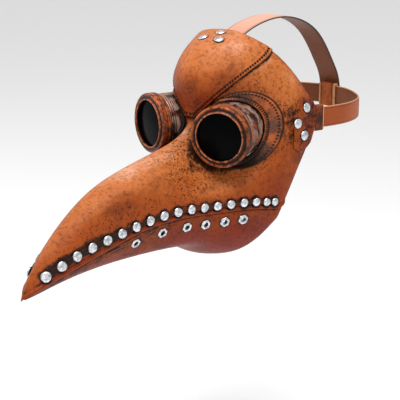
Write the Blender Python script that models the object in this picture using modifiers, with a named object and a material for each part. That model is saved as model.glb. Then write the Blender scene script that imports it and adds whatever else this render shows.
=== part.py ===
"""Plague doctor mask: a long leather beak with riveted seams, goggles and head straps.

The origin is the middle of the wearer's head at temple height. The beak points to -Y,
+X is the wearer's left and +Z is up. Lengths in the tables are millimetres.
"""
import math

import bmesh
import bpy
import numpy as np
from mathutils import Matrix, Vector
from mathutils.bvhtree import BVHTree

MM = 0.001
GAP = 0.3                  # clearance between touching pieces

# ---- driving dimensions, millimetres -----------------------------------------------------
SHELL = 2.6                # wall of the face shell and the jaw
PANEL = 1.6                # wall of the stitched forehead panel
STRAP = 2.0                # thickness of the straps
REAR_STRAP_WIDTH = 20.0
TOP_STRAP_WIDTH = 25.0
GOGGLE_CENTRE = (44.0, -132.0, 10.5)     # middle of the left rim's front face
GOGGLE_SPLAY = math.radians(17.5)        # how far each goggle looks outward
RIM_RADIUS = 28.5
RIM_APERTURE = 22.0
RIM_DEPTH = 10.0
BARREL_RADIUS = 26.8
BARREL_WALL = 2.6
LENS_RADIUS = 25.8
LENS = 2.0
RIVETS_PER_SIDE = 18
EYELETS_PER_SIDE = 6
HOLE = 2.0                 # radius of a rivet's hole

# Lines of the mould, each from the beak's tip to the head rim, on the wearer's left.
# The stations run from the tip, along the beak, past the goggles to the rim.
MOULD = np.array([
    # ridge of the beak, bridge and middle of the forehead
    [(0, -332, -99), (0, -316, -75), (0, -285, -48), (0, -245, -25),
     (0, -205, -14), (0, -168, -6), (0, -140, 3), (0, -121, 18),
     (0, -124, 45), (0, -118, 68), (0, -98, 86), (0, -65, 93.5)],
    # rounding beside the ridge
    [(0, -332, -99), (5, -316, -78.5), (9, -285, -52), (13, -245, -29.5),
     (17, -205, -19), (18, -168, -13), (13, -138, -6), (15, -113, 9),
     (24, -111, 40), (29, -103, 64), (30, -84, 81), (27, -68, 91)],
    # upper side of the beak and brow
    [(0, -332, -99), (8, -316, -82.5), (14.5, -285, -59.5), (20.5, -245, -41),
     (26.5, -205, -32), (32, -168, -31), (34, -136, -28), (41, -102, -13),
     (47, -86, 22), (52, -72, 50), (54, -58, 66), (51, -52, 73)],
    # side of the beak, below the goggle, temple
    [(0, -332, -99), (9.2, -316, -85.5), (16.3, -285, -66), (23.5, -245, -53),
     (30, -205, -44), (38, -168, -41), (46, -137, -40), (56, -105, -30),
     (64, -80, -2), (68, -61, 24), (69, -47, 38), (69, -31, 37)],
    # cheek
    [(0, -332, -99), (9.5, -316, -88), (16.7, -285, -73), (24.5, -245, -60.5),
     (31.5, -205, -51.5), (40, -168, -49), (48, -139, -49), (60, -111, -44),
     (69, -86, -34), (73.5, -68, -22), (76, -52, -10), (77, -37, 2)],
    # lip, where the face shell meets the jaw
    [(0, -332, -99), (8.7, -316, -90), (16, -285, -80), (24, -245, -68),
     (31, -205, -59), (39.5, -168, -57), (47, -140, -58.5), (59, -114, -58.5),
     (66, -97, -60), (69.5, -82, -62.5), (71, -72, -62), (68.5, -66, -56)],
    # side of the jaw
    [(0, -332, -99), (7.2, -316, -91.5), (13.5, -285, -84), (21, -245, -75),
     (28, -205, -69), (37, -168, -69), (44.5, -141, -72), (55, -117, -73.5),
     (61, -101, -75), (64, -88, -77.5), (65, -79, -78), (62.5, -76, -75)],
    # lower edge of the jaw
    [(0, -332, -99), (4, -316, -95.5), (7.5, -285, -90), (12.5, -245, -86),
     (18, -205, -85.5), (25, -168, -86.5), (32, -143, -89), (38, -126, -94),
     (42, -112, -98.5), (44, -103, -101), (44, -96, -102), (43, -87, -98)],
    # keel under the beak and chin
    [(0, -332, -99), (0, -316, -97), (0, -285, -93), (0, -245, -90.5),
     (0, -205, -90), (0, -168, -92), (0, -146, -97), (0, -132, -104),
     (0, -122, -109), (0, -114, -111.5), (0, -106, -112.5), (0, -98, -112)],
], float)
LINES, STATIONS = MOULD.shape[:2]
LIP = 5                    # the line where face shell and jaw meet
LAST = STATIONS - 1

COLOURS = {
    "leather": ((0.45, 0.16, 0.05), 0.45, 0.0),
    "dark_leather": ((0.10, 0.04, 0.02), 0.5, 0.0),
    "strap_leather": ((0.42, 0.14, 0.04), 0.4, 0.0),
    "bronze": ((0.20, 0.12, 0.08), 0.35, 0.7),
    "rim_leather": ((0.36, 0.12, 0.04), 0.35, 0.2),
    "lens": ((0.004, 0.004, 0.005), 0.05, 0.0),
    "steel": ((0.75, 0.75, 0.76), 0.25, 1.0),
}


# ---- the mould as a surface --------------------------------------------------------------
def spline_weights(count, place):
    """Weights of `count` evenly spaced points on a natural cubic spline, at each place."""
    second = 4 * np.eye(count) + np.eye(count, k=1) + np.eye(count, k=-1)
    right = 6 * (np.eye(count, k=1) - 2 * np.eye(count) + np.eye(count, k=-1))
    second[0] = second[-1] = 0
    second[0, 0] = second[-1, -1] = 1
    right[0] = right[-1] = 0
    bend = np.linalg.solve(second, right)
    start = np.clip(place.astype(int), 0, count - 2)
    after = (place - start)[:, None]
    before = 1 - after
    unit = np.eye(count)
    return (before * unit[start] + after * unit[start + 1]
            + ((before ** 3 - before) * bend[start] + (after ** 3 - after) * bend[start + 1]) / 6)


MIRRORED = MOULD * [-1, 1, 1]
AROUND = np.concatenate([MIRRORED[:0:-1], MOULD, MIRRORED[-2::-1]])


def skin(u, v):
    """Point of the mould: u counts lines from the ridge (negative on the right), v stations."""
    u, v = np.broadcast_arrays(np.asarray(u, float), np.asarray(v, float))
    across = spline_weights(len(AROUND), u.ravel() + LINES - 1)
    along = spline_weights(STATIONS, v.ravel())
    return np.einsum("ma,mb,abc->mc", across, along, AROUND).reshape(*u.shape, 3)


def skin_normal(u, v):
    """Outward unit normal of the mould."""
    step = 0.01
    v = np.maximum(v, 0.1)
    inside = np.minimum(v + step, LAST)
    across = skin(u + step, v) - skin(u - step, v)
    along = skin(u, inside) - skin(u, inside - 2 * step)
    normal = np.cross(across, along)
    return normal / np.linalg.norm(normal, axis=-1, keepdims=True)


def lifted(u, v, lift):
    return skin(u, v) + skin_normal(u, v) * np.asarray(lift)[..., None]


def lip_offset(v, distance, side):
    """Line number `distance` away from the lip on station v's ring; side -1 is towards the ridge."""
    steps = LIP + side * np.linspace(0, 4, 161)
    ring = skin(steps, np.full(steps.shape, v))
    run = np.concatenate([[0], np.cumsum(np.linalg.norm(np.diff(ring, axis=0), axis=1))])
    return float(np.interp(distance, run, steps))


# ---- scene helpers -----------------------------------------------------------------------
def clear_scene():
    for item in list(bpy.data.objects):
        bpy.data.objects.remove(item, do_unlink=True)


def new_collection(name):
    collection = bpy.data.collections.new(name)
    bpy.context.scene.collection.children.link(collection)
    return collection


clear_scene()
PARTS = new_collection("plague_doctor_mask")
CUTTERS = new_collection("cutters")


def material(name):
    if name in bpy.data.materials:
        return bpy.data.materials[name]
    colour, roughness, metallic = COLOURS[name]
    made = bpy.data.materials.new(name)
    made.use_nodes = True
    shader = made.node_tree.nodes["Principled BSDF"]
    shader.inputs["Base Color"].default_value = (*colour, 1)
    shader.inputs["Roughness"].default_value = roughness
    shader.inputs["Metallic"].default_value = metallic
    return made


def add(name, mesh, finish, matrix=None):
    item = bpy.data.objects.new(name, mesh)
    PARTS.objects.link(item)
    mesh.materials.append(material(finish))
    mesh.shade_smooth()
    mesh.set_sharp_from_angle(angle=math.radians(40))
    if matrix is not None:
        item.matrix_world = matrix
    return item


def add_cutter(name, mesh):
    item = bpy.data.objects.new(name, mesh)
    CUTTERS.objects.link(item)
    item.display_type = "WIRE"
    item.hide_render = True
    return item


def mesh_from(name, points, faces):
    """Mesh from points in millimetres, with coincident points merged."""
    mesh = bpy.data.meshes.new(name)
    mesh.from_pydata((np.asarray(points) * MM).tolist(), [], faces)
    work = bmesh.new()
    work.from_mesh(mesh)
    bmesh.ops.remove_doubles(work, verts=work.verts, dist=1e-6)
    bmesh.ops.dissolve_degenerate(work, dist=1e-7, edges=work.edges)
    bmesh.ops.recalc_face_normals(work, faces=work.faces)
    if work.calc_volume(signed=True) < 0:
        bmesh.ops.reverse_faces(work, faces=work.faces)
    work.to_mesh(mesh)
    work.free()
    return mesh


def grid_faces(rows, columns, start=0, flip=False):
    faces = []
    for row in range(rows - 1):
        for column in range(columns - 1):
            a = start + row * columns + column
            face = (a, a + 1, a + columns + 1, a + columns)
            faces.append(face[::-1] if flip else face)
    return faces


def walled(name, outer, inner):
    """Closed solid between two grids of the same size, joined by walls along their four sides.

    The long walls are split along the same diagonal in every solid, so two that meet keep their gap.
    """
    rows, columns = outer.shape[:2]
    count = rows * columns
    points = np.concatenate([outer.reshape(-1, 3), inner.reshape(-1, 3)])
    faces = grid_faces(rows, columns) + grid_faces(rows, columns, count, flip=True)
    last_row, last_column = (rows - 1) * columns, columns - 1
    for column in range(columns - 1):
        faces.append((column + 1, column, count + column, count + column + 1))
        a = last_row + column
        faces.append((a, a + 1, count + a + 1, count + a))
    for row in range(rows - 1):
        a, b = row * columns, (row + 1) * columns
        faces += [(a, b, count + b), (a, count + b, count + a)]
        a, b = a + last_column, b + last_column
        faces += [(b, a, count + b), (a, count + a, count + b)]
    return mesh_from(name, points, faces)


def tube_between(name, outer, inner):
    """Closed ring solid between two grids whose columns run round and close on themselves."""
    rows, columns = outer.shape[:2]
    count = rows * columns
    points = np.concatenate([outer.reshape(-1, 3), inner.reshape(-1, 3)])
    faces = []
    for column in range(columns):
        after = (column + 1) % columns
        for row in range(rows - 1):
            a, b = row * columns + column, row * columns + after
            c, d = a + columns, b + columns
            faces.append((a, b, d, c))
            faces.append((count + c, count + d, count + b, count + a))
        faces.append((after, column, count + column, count + after))
        a, b = (rows - 1) * columns + column, (rows - 1) * columns + after
        faces.append((a, b, count + b, count + a))
    return mesh_from(name, points, faces)


def turned(name, profile, steps):
    """Mesh of a profile of (radius, height) points turned about Z, from its top to its bottom."""
    mesh = bpy.data.meshes.new(name)
    points = [(radius * MM, 0, height * MM) for radius, height in profile]
    mesh.from_pydata(points, [(i, i + 1) for i in range(len(points) - 1)], [])
    item = bpy.data.objects.new(name, mesh)
    PARTS.objects.link(item)
    screw = item.modifiers.new("Turn", "SCREW")
    screw.steps = screw.render_steps = steps
    screw.use_merge_vertices = True
    screw.merge_threshold = 0.00001
    screw.use_smooth_shade = False
    evaluated = item.evaluated_get(bpy.context.evaluated_depsgraph_get())
    made = bpy.data.meshes.new_from_object(evaluated)
    bpy.data.objects.remove(item, do_unlink=True)
    bpy.data.meshes.remove(mesh)
    made.name = name
    return made


def frame_at(place, outward, along=(0, 0, 1)):
    """Matrix with its origin at place (millimetres), local Z outward and local X across `along`."""
    z_axis = Vector(outward).normalized()
    x_axis = Vector(along).cross(z_axis).normalized()
    y_axis = z_axis.cross(x_axis)
    turn = Matrix((x_axis, y_axis, z_axis)).transposed().to_4x4()
    return Matrix.Translation(Vector(place) * MM) @ turn


def cylinders(name, matrices, radius, top, bottom, sides=10):
    """One cutter holding a cylinder along local Z in each of the frames."""
    work = bmesh.new()
    for matrix in matrices:
        middle = Matrix.Translation((0, 0, (top + bottom) / 2 * MM))
        bmesh.ops.create_cone(work, cap_ends=True, segments=sides, radius1=radius * MM,
                              radius2=radius * MM, depth=(top - bottom) * MM, matrix=matrix @ middle)
    mesh = bpy.data.meshes.new(name)
    work.to_mesh(mesh)
    work.free()
    return add_cutter(name, mesh)


def cut(item, cutter):
    tool = item.modifiers.new(cutter.name, "BOOLEAN")
    tool.operation = "DIFFERENCE"
    tool.object = cutter


def solidify(item, thickness):
    """Give an open surface its wall, half on each side."""
    wall = item.modifiers.new("Wall", "SOLIDIFY")
    wall.thickness = thickness * MM
    wall.offset = 0
    wall.use_even_offset = True


# ---- face shell and jaw ------------------------------------------------------------------
SOLID_TIP = 0.6            # the beak is solid up to this station, then hollow
HOLLOW_BY = 1.2
LIP_GAP = 0.65             # between the face shell and the jaw


def moulded_wall(name, u_rows, v_rows):
    """Wall of the mould between two lines, solid near the beak's tip."""
    v_grid = np.repeat(v_rows[:, None], u_rows.shape[1], axis=1)
    outer = skin(u_rows, v_grid)
    inner = lifted(u_rows, v_grid, np.full(v_grid.shape, -SHELL))
    middle = (outer[:, :1] + outer[:, -1:]) / 2
    open_by = np.clip((v_rows - SOLID_TIP) / (HOLLOW_BY - SOLID_TIP), 0, 1)[:, None, None]
    inner = middle + (inner - middle) * open_by
    return walled(name, outer, inner)


# stations of the wall's rows, closer together where the beak turns up into the forehead
WALL_ROWS = np.concatenate([[0, 0.4, 0.6, 0.8, 1.0, 1.2], np.arange(1.8, 5.5, 0.6),
                            np.arange(5.7, 8.2, 0.3), np.arange(8.5, 10.6, 0.5), [10.75, LAST]])


def face_shell():
    v_rows = WALL_ROWS
    edge = np.array([lip_offset(max(v, 0.1), LIP_GAP / 2, -1) for v in v_rows])
    fractions = np.linspace(-1, 1, 27)
    return add("face_shell", moulded_wall("face_shell", edge[:, None] * fractions, v_rows), "leather")


def jaw_panel():
    v_rows = WALL_ROWS[1:]
    edge = np.array([lip_offset(max(v, 0.1), LIP_GAP / 2, 1) for v in v_rows])
    keel = LINES - 1
    fractions = np.linspace(-1, 1, 13)
    u_rows = keel + (keel - edge)[:, None] * fractions
    return add("jaw_panel", moulded_wall("jaw_panel", u_rows, v_rows), "leather")


# ---- goggles -----------------------------------------------------------------------------
SIDES = {"left": 1, "right": -1}
SKIN_TREE = None


def skin_tree():
    """Fine copy of the mould's outside, for finding where lines meet it."""
    u, v = np.meshgrid(np.linspace(-LINES + 1, LINES - 1, 129), np.linspace(0.3, LAST, 129))
    points = skin(u, v)
    return BVHTree.FromPolygons(points.reshape(-1, 3).tolist(), grid_faces(*u.shape))


def goggle_axes(side):
    """Front centre, outward axis and the across and up directions of a goggle."""
    sign = SIDES[side]
    centre = np.array(GOGGLE_CENTRE) * [sign, 1, 1]
    axis = np.array([sign * math.sin(GOGGLE_SPLAY), -math.cos(GOGGLE_SPLAY), 0])
    across = np.array([math.cos(GOGGLE_SPLAY), sign * math.sin(GOGGLE_SPLAY), 0])
    return centre, axis, across, np.array([0, 0, 1.0])


def goggle_matrix(side, depth=0.0):
    centre, axis, _, _ = goggle_axes(side)
    return frame_at(centre - axis * depth, axis)


def skin_depth(side, angle, radius):
    """Depth behind the rim's front where a line along the goggle's axis meets the mould, and its slope."""
    centre, axis, across, up = goggle_axes(side)
    start = centre + radius * (math.cos(angle) * across * SIDES[side] + math.sin(angle) * up)
    ahead = 4.0
    place, normal, _, distance = SKIN_TREE.ray_cast(Vector(start + axis * ahead), Vector(-axis))
    if place is None:
        return None, None
    return distance - ahead, abs(normal.dot(Vector(axis)))


def ring_points(side, radii, depths, angles):
    """Grid of points at given radii and depths (rows) for every angle round a goggle (columns)."""
    centre, axis, across, up = goggle_axes(side)
    around = np.cos(angles)[:, None] * across * SIDES[side] + np.sin(angles)[:, None] * up
    return centre + radii[..., None] * around - depths[..., None] * axis


def round_angles(side, count):
    """Angles counted so that faces built from them point outwards on either side."""
    return np.arange(count) * 2 * math.pi / count * SIDES[side]


BARREL_FRONT = 8.0
SURROUND_LOW = 1.0         # underside of the eye surround, above the mould
BARREL_REACH = 4.5         # how far the barrel goes past the mould's outside


def goggle_barrel(side):
    angles = round_angles(side, 28)
    base = []
    for angle in angles:
        depth, _ = skin_depth(side, angle, BARREL_RADIUS)
        base.append(depth + BARREL_REACH)
    base = np.array(base)
    shares = np.array([0, 0.5, 1.0])[:, None]
    depths = BARREL_FRONT + shares * (base - BARREL_FRONT)
    outer = ring_points(side, np.full(depths.shape, BARREL_RADIUS), depths, angles)
    inner = ring_points(side, np.full(depths.shape, BARREL_RADIUS - BARREL_WALL), depths, angles)
    return add(f"goggle_barrel_{side}", tube_between("barrel", outer, inner), "bronze")


def eye_surround(side):
    angles = round_angles(side, 32)
    start = BARREL_RADIUS + 2 * GAP
    # the outline is widest towards the temple and drawn in beside the nose and under the forehead seam
    outline = np.maximum(33.5 + 9.5 * np.cos(angles * SIDES[side] - math.radians(8)), start + 1.4)
    lower, upper = [], []
    for share in (0, 0.5, 1):
        radii = start + share * (outline - start)
        found = [skin_depth(side, angle, radius) for angle, radius in zip(angles, radii)]
        depth = np.array([item[0] for item in found])
        slope = np.maximum([item[1] for item in found], 0.4)
        lower.append((radii, depth - SURROUND_LOW / slope))
        upper.append((radii, np.maximum(depth - (SURROUND_LOW + PANEL) / slope, RIM_DEPTH + 2 * GAP)))
    grids = []
    for layer in (upper, lower):
        radii = np.array([item[0] for item in layer])
        depths = np.array([item[1] for item in layer])
        grids.append(ring_points(side, radii, depths, angles))
    mesh = tube_between("surround", grids[0][::-1], grids[1][::-1])
    return add(f"eye_surround_{side}", mesh, "dark_leather")


def goggle_rim(side):
    lip = RIM_APERTURE
    profile = [(lip, -2.8), (lip, -0.6), (lip + 1.2, 0), (lip + 2.4, -0.8), (RIM_RADIUS - 1.6, -0.8),
               (RIM_RADIUS - 0.5, -1.4), (RIM_RADIUS, -2.6), (RIM_RADIUS, -RIM_DEPTH),
               (BARREL_RADIUS + GAP, -RIM_DEPTH), (BARREL_RADIUS + GAP, -2.8), (lip, -2.8)]
    return add(f"goggle_rim_{side}", turned("rim", profile, 28), "rim_leather", goggle_matrix(side))


def lens(side):
    top = -2.8 - GAP
    profile = [(0, top), (LENS_RADIUS, top), (LENS_RADIUS, top - LENS), (0, top - LENS)]
    return add(f"lens_{side}", turned("lens", profile, 24), "lens", goggle_matrix(side))


def lens_retainer(side):
    top = -2.8 - GAP - LENS - GAP
    bottom = -BARREL_FRONT + GAP
    outer, inner = LENS_RADIUS, LENS_RADIUS - 2.4
    profile = [(inner, bottom), (inner, top), (outer, top), (outer, bottom), (inner, bottom)]
    return add(f"lens_retainer_{side}", turned("retainer", profile, 24), "bronze", goggle_matrix(side))


# ---- stitched panel and tabs -------------------------------------------------------------
PANEL_BOTTOM = 7.15        # station of the panel's lower edge, at the bridge


def seam_line(v):
    """Line number of the forehead seam: it opens quickly above the bridge, then runs up to the rim."""
    return 0.35 + 1.55 * (1 - np.exp(-(v - PANEL_BOTTOM) / 1.7))


def lifted_patch(name, u_rows, v_rows, low, high, finish):
    v_grid = np.repeat(v_rows[:, None], u_rows.shape[1], axis=1)
    outer = lifted(u_rows, v_grid, np.full(v_grid.shape, high))
    inner = lifted(u_rows, v_grid, np.full(v_grid.shape, low))
    return add(name, walled(name, outer, inner), finish)


PANEL_LOW = 0.95           # underside of the panel, above the mould
PANEL_HIGH = PANEL_LOW + PANEL


def forehead_panel():
    v_rows = np.linspace(PANEL_BOTTOM, LAST - 0.02, 13)
    u_rows = seam_line(v_rows)[:, None] * np.linspace(-1, 1, 11)
    return lifted_patch("forehead_panel", u_rows, v_rows, PANEL_LOW, PANEL_HIGH, "leather")


TAB_FRONT = 9.25


def temple_tab(side):
    v_rows = np.linspace(TAB_FRONT, LAST - 0.03, 7)
    share = (v_rows - TAB_FRONT) / (LAST - TAB_FRONT)
    half = 0.28 + 0.24 * np.sin(np.pi * np.minimum(share * 1.6, 1) / 2)
    middle = 3.5 + 0.12 * share
    u_rows = middle[:, None] + half[:, None] * np.linspace(-1, 1, 6)
    if side == "right":
        u_rows = -u_rows[:, ::-1]
    return lifted_patch(f"temple_tab_{side}", u_rows, v_rows, PANEL_LOW, PANEL_HIGH, "dark_leather")


# ---- fasteners ---------------------------------------------------------------------------
BURR = 0.8                 # thickness of the washer that a rivet is closed on


def rivet_profile(head, rise, shank, stack):
    """Domed head above a shank that goes through `stack` of leather to a burr."""
    burr = head * 0.75
    return [(0, rise), (head * 0.55, rise * 0.86), (head * 0.9, rise * 0.45), (head, 0.35), (head, 0),
            (shank, 0), (shank, -stack), (burr, -stack), (burr, -stack - BURR), (0, -stack - BURR)]


def skin_frame(u, v, lift):
    u, v = np.array([float(u)]), np.array([float(v)])
    return frame_at(lifted(u, v, np.array([lift]))[0], skin_normal(u, v)[0])


STACK = 10.6                                         # panel, shell and the end of the top strap
SHORT_STACK = PANEL_HIGH + SHELL + 4 * GAP           # tab and shell
LONG_STACK = 13.8                                    # tab, shell and the end of the rear strap
SHANK = 1.6
FOREHEAD_RIVETS = {"forehead_rivet_left": (0.3, 10.22), "forehead_rivet_right": (-0.3, 10.22),
                   "forehead_rivet_rear": (0.0, 10.66)}
TEMPLE_RIVETS = {"front": (3.42, 9.5), "upper": (3.3, 10.3), "lower": (3.78, 10.05)}


def rivets():
    """Three rivets in the forehead and three in each temple; returns the frames of their holes."""
    forehead, temples = [], {}

    def place(name, u, v, stack):
        frame = skin_frame(u, v, PANEL_HIGH + GAP)
        add(name, turned("rivet", rivet_profile(4.6, 1.7, SHANK, stack), 10), "steel", frame)
        return frame

    for name, (u, v) in FOREHEAD_RIVETS.items():
        forehead.append(place(name, u, v, STACK))
    for side, sign in SIDES.items():
        for name, (u, v) in TEMPLE_RIVETS.items():
            stack = LONG_STACK if name == "front" else SHORT_STACK
            temples[side, name] = place(f"temple_rivet_{name}_{side}", u * sign, v, stack)
    return forehead, temples


EYELET_HEIGHT = 9.2        # below the lip
EYELET_HOLE = 3.5


def eyelets():
    """Six rolled eyelets along each side of the jaw."""
    frames = []
    profile = [(2.3, -SHELL - 1.1), (2.3, 0.9), (3.0, 1.3), (4.2, 1.1), (4.8, GAP),
               (EYELET_HOLE - GAP, GAP), (EYELET_HOLE - GAP, -SHELL - GAP), (4.4, -SHELL - GAP),
               (4.4, -SHELL - 1.1), (2.3, -SHELL - 1.1)]
    mesh = turned("eyelet", profile, 8)
    for side, sign in SIDES.items():
        for index in range(EYELETS_PER_SIDE):
            v = 3.6 + 0.7 * index
            u = lip_offset(v, EYELET_HEIGHT, 1)
            frame = skin_frame(u * sign, v, 0)
            add(f"eyelet_{side}_{index + 1}", mesh.copy(), "steel", frame)
            frames.append(frame)
    bpy.data.meshes.remove(mesh)
    return frames


def rivet_row(v):
    """Height of the beak's rivet row above the lip: it rises in the middle of the beak."""
    return 7.5 + 3.8 * math.exp(-((v - 2.2) / 0.9) ** 2)


FIRST_RIVET, LAST_RIVET = 1.15, 8.8
ROW_EASE = 1.136           # how much the rivets close up towards the cheek
WELT_LOW = 1.15            # underside of the welt, above the mould
WELT = 0.9
HEAD_RISE = 2.0            # height of the rivet heads joined to the welt


def rivet_stations():
    """Stations of the rivets of one side: their pitch along the row shrinks towards the cheek."""
    v = np.linspace(FIRST_RIVET, LAST_RIVET, 200)
    line = np.array([skin(lip_offset(item, rivet_row(item), -1), item) for item in v])
    run = np.concatenate([[0], np.cumsum(np.linalg.norm(np.diff(line, axis=0), axis=1))])
    share = np.arange(RIVETS_PER_SIDE) / (RIVETS_PER_SIDE - 1)
    return np.interp(run[-1] * (1 - (1 - share) ** ROW_EASE), run, v)


def beak_rivet_strip(side):
    """Welt along the lip with its row of domed rivet heads joined to it."""
    sign = SIDES[side]
    stations = rivet_stations()
    v_rows = np.linspace(stations[0] - 0.12, stations[-1] + 0.2, 22)
    middle = np.array([lip_offset(v, rivet_row(v), -1) for v in v_rows])
    half = np.array([lip_offset(v, rivet_row(v) - 2.6, -1) for v in v_rows]) - middle
    u_rows = middle[:, None] + half[:, None] * np.array([-1.0, 1.0])
    if side == "right":
        u_rows = -u_rows[:, ::-1]
    strip = lifted_patch(f"beak_rivet_strip_{side}", u_rows, v_rows, WELT_LOW, WELT_LOW + WELT,
                         "dark_leather")
    work = bmesh.new()
    for v in stations:
        frame = skin_frame(lip_offset(v, rivet_row(v), -1) * sign, v, WELT_LOW + 0.4)
        head = 4.7 - 0.1 * v
        middle = frame @ Matrix.Translation((0, 0, HEAD_RISE / 2 * MM))
        bmesh.ops.create_cone(work, cap_ends=True, segments=8, radius1=head * MM,
                              radius2=head * 0.6 * MM, depth=HEAD_RISE * MM, matrix=middle)
    mesh = bpy.data.meshes.new(f"heads_{side}")
    work.to_mesh(mesh)
    work.free()
    heads = add_cutter(f"rivet_heads_{side}", mesh)
    join = strip.modifiers.new("Heads", "BOOLEAN")
    join.operation = "UNION"
    join.object = heads
    return strip


# ---- straps ------------------------------------------------------------------------------
def smooth_path(points, per_span):
    """Points along a natural spline through the given points."""
    points = np.array(points, float)
    place = np.linspace(0, len(points) - 1, (len(points) - 1) * per_span + 1)
    return spline_weights(len(points), place) @ points


def ribbon(name, path, width_direction, width, thickness, finish, flip=False):
    """Strap: an open ribbon along a path, given its wall by Solidify."""
    half = np.asarray(width_direction, float) * width / 2
    points = np.stack([path - half, path + half], axis=1)
    mesh = mesh_from(name, points.reshape(-1, 3), grid_faces(len(path), 2, flip=flip))
    item = add(name, mesh, finish)
    solidify(item, thickness)
    return item


UP = (0, 0, 1.0)
# middle line of the left rear strap, from inside the temple to the back of the head (plan and height)
STRAP_FRONT = [(62.3, -62, 15.5), (64.9, -50, 15.2), (67.7, -38, 15), (71.6, -20, 14.5), (75.2, -3, 13.8)]
STRAP_SIDE = [(76.6, 18, 13), (73.5, 38, 12.2), (65.5, 58, 11.3), (51.5, 75.5, 10.6)]
BUCKLE_ANGLE = math.radians(34)          # turn of the buckle's flat, from straight across
BUCKLE_MIDDLE = (-39.5, 84.0, 9.9)       # on the flat stretch at the right of the back


def flat_point(along, out, rise=0.0):
    """Point in the buckle's flat: `along` towards the wearer's right, `out` away from the head."""
    run = np.array([-math.cos(BUCKLE_ANGLE), -math.sin(BUCKLE_ANGLE), 0])
    away = np.array([-math.sin(BUCKLE_ANGLE), math.cos(BUCKLE_ANGLE), 0])
    return np.array(BUCKLE_MIDDLE) + run * along + away * out + np.array([0, 0, rise])


BAR = 1.2                  # radius of the buckle's wire
LAYER = (STRAP + GAP) / 2  # half the distance between two strap layers
HEEL = 9.0                 # place of the buckle's heel bar along the flat
FRONT_BAR = -9.5
FRAME_HALF = REAR_STRAP_WIDTH / 2 + 1.6


def rear_strap_left():
    """Goes round the back of the head, under the buckle's front bar and over its heel bar."""
    back = [(30, 91.8, 10.2), (12, 97, 10), (-8, 96.9, 10)]
    flat = [flat_point(-16, -0.6), flat_point(-9.5, -0.2), flat_point(-2, 2.3), flat_point(5, 4.6),
            flat_point(10, 5.2), flat_point(17, 4.2), flat_point(24, 3.5 + 0.3), flat_point(34, 3.1)]
    path = smooth_path(STRAP_FRONT + STRAP_SIDE + back + flat, 2)
    return ribbon("rear_strap_left", path, UP, REAR_STRAP_WIDTH, STRAP, "strap_leather")


def rear_strap_right():
    """Comes round from the right temple and folds round the buckle's heel bar."""
    mirror = np.array([-1, 1, 1])
    front = [np.array(point) * mirror for point in STRAP_FRONT + STRAP_SIDE[:3]]
    outer = [flat_point(27, LAYER), flat_point(20, LAYER), flat_point(14, 1.6)]
    turn = BAR + GAP + STRAP / 2 + 0.25
    fold = [flat_point(HEEL + turn * math.sin(angle), turn * math.cos(angle))
            for angle in np.radians([0, -45, -90, -135, -180])]
    inner = [flat_point(14, -1.6), flat_point(20, -LAYER), flat_point(26, -LAYER - 0.25)]
    path = smooth_path(front + outer + fold + inner, 2)
    return ribbon("rear_strap_right", path, UP, REAR_STRAP_WIDTH, STRAP, "strap_leather", flip=True)


# middle line of the top strap in the plane x = 0: (y, z)
TOP_PATH = [(-93, 81.0), (-80, 85.0), (-66, 88.2), (-52, 93.6), (-36, 98.4), (-16, 101.5), (4, 101.6),
            (24, 98.2), (44, 91), (62, 79.5), (77, 63.5), (89, 47), (97.5, 34), (101.9, 22),
            (102.6, 12), (102.6, 2)]


def top_strap():
    path = smooth_path([(0, y, z) for y, z in TOP_PATH], 2)
    return ribbon("top_strap", path, (1, 0, 0), TOP_STRAP_WIDTH, STRAP, "strap_leather", flip=True)


def sleeve(name, opening, wall, length, finish, matrix):
    """Leather loop round a strap: a rectangular ring drawn as a flat outline with a hole, then extruded."""
    curve = bpy.data.curves.new(name, "CURVE")
    curve.dimensions = "2D"
    curve.fill_mode = "BOTH"
    curve.extrude = length / 2 * MM
    for half_x, half_y in ((opening[0] / 2 + wall, opening[1] / 2 + wall), (opening[0] / 2, opening[1] / 2)):
        spline = curve.splines.new("POLY")
        corners = [(half_x, half_y), (-half_x, half_y), (-half_x, -half_y), (half_x, -half_y)]
        spline.points.add(3)
        for point, (x, y) in zip(spline.points, corners):
            point.co = (x * MM, y * MM, 0, 1)
        spline.use_cyclic_u = True
    item = bpy.data.objects.new(name, curve)
    PARTS.objects.link(item)
    curve.materials.append(material(finish))
    item.matrix_world = matrix
    return item


def sleeve_matrix(place, run, up=UP):
    """Frame of a sleeve: local Z along the strap, local Y across it, local X through its thickness."""
    z_axis = Vector(run).normalized()
    y_axis = Vector(up)
    x_axis = y_axis.cross(z_axis).normalized()
    turn = Matrix((x_axis, y_axis, z_axis)).transposed().to_4x4()
    return Matrix.Translation(Vector(place) * MM) @ turn


def strap_keeper(side):
    """Dark leather keeper round the strap, just behind the temple."""
    sign = SIDES[side]
    start, end = np.array(STRAP_FRONT[2]), np.array(STRAP_FRONT[4])
    run = (end - start) / np.linalg.norm(end - start) * [sign, 1, 1]
    place = (start + (end - start) * 0.5) * [sign, 1, 1]
    opening = (STRAP + 4 * GAP, REAR_STRAP_WIDTH + 4 * GAP)
    sleeve(f"strap_keeper_{side}", opening, 1.5, 13, "dark_leather", sleeve_matrix(place, run))


def top_strap_loop():
    """Loop under the top strap's end, which the rear strap passes through."""
    opening = (STRAP + 4 * GAP, REAR_STRAP_WIDTH + 4 * GAP)
    sleeve("top_strap_loop", opening, 1.4, 20, "strap_leather", sleeve_matrix((2, 97.1, 10), (-1, 0, 0)))


def buckle_keeper():
    """Keeper that holds the tail of the left strap against the right strap."""
    opening = (3 * STRAP + 2 * GAP + 1.6, REAR_STRAP_WIDTH + 4 * GAP)
    run = flat_point(1, 0) - flat_point(0, 0)
    sleeve("buckle_keeper", opening, 1.3, 7, "dark_leather", sleeve_matrix(flat_point(23, 1.0), run))


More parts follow.
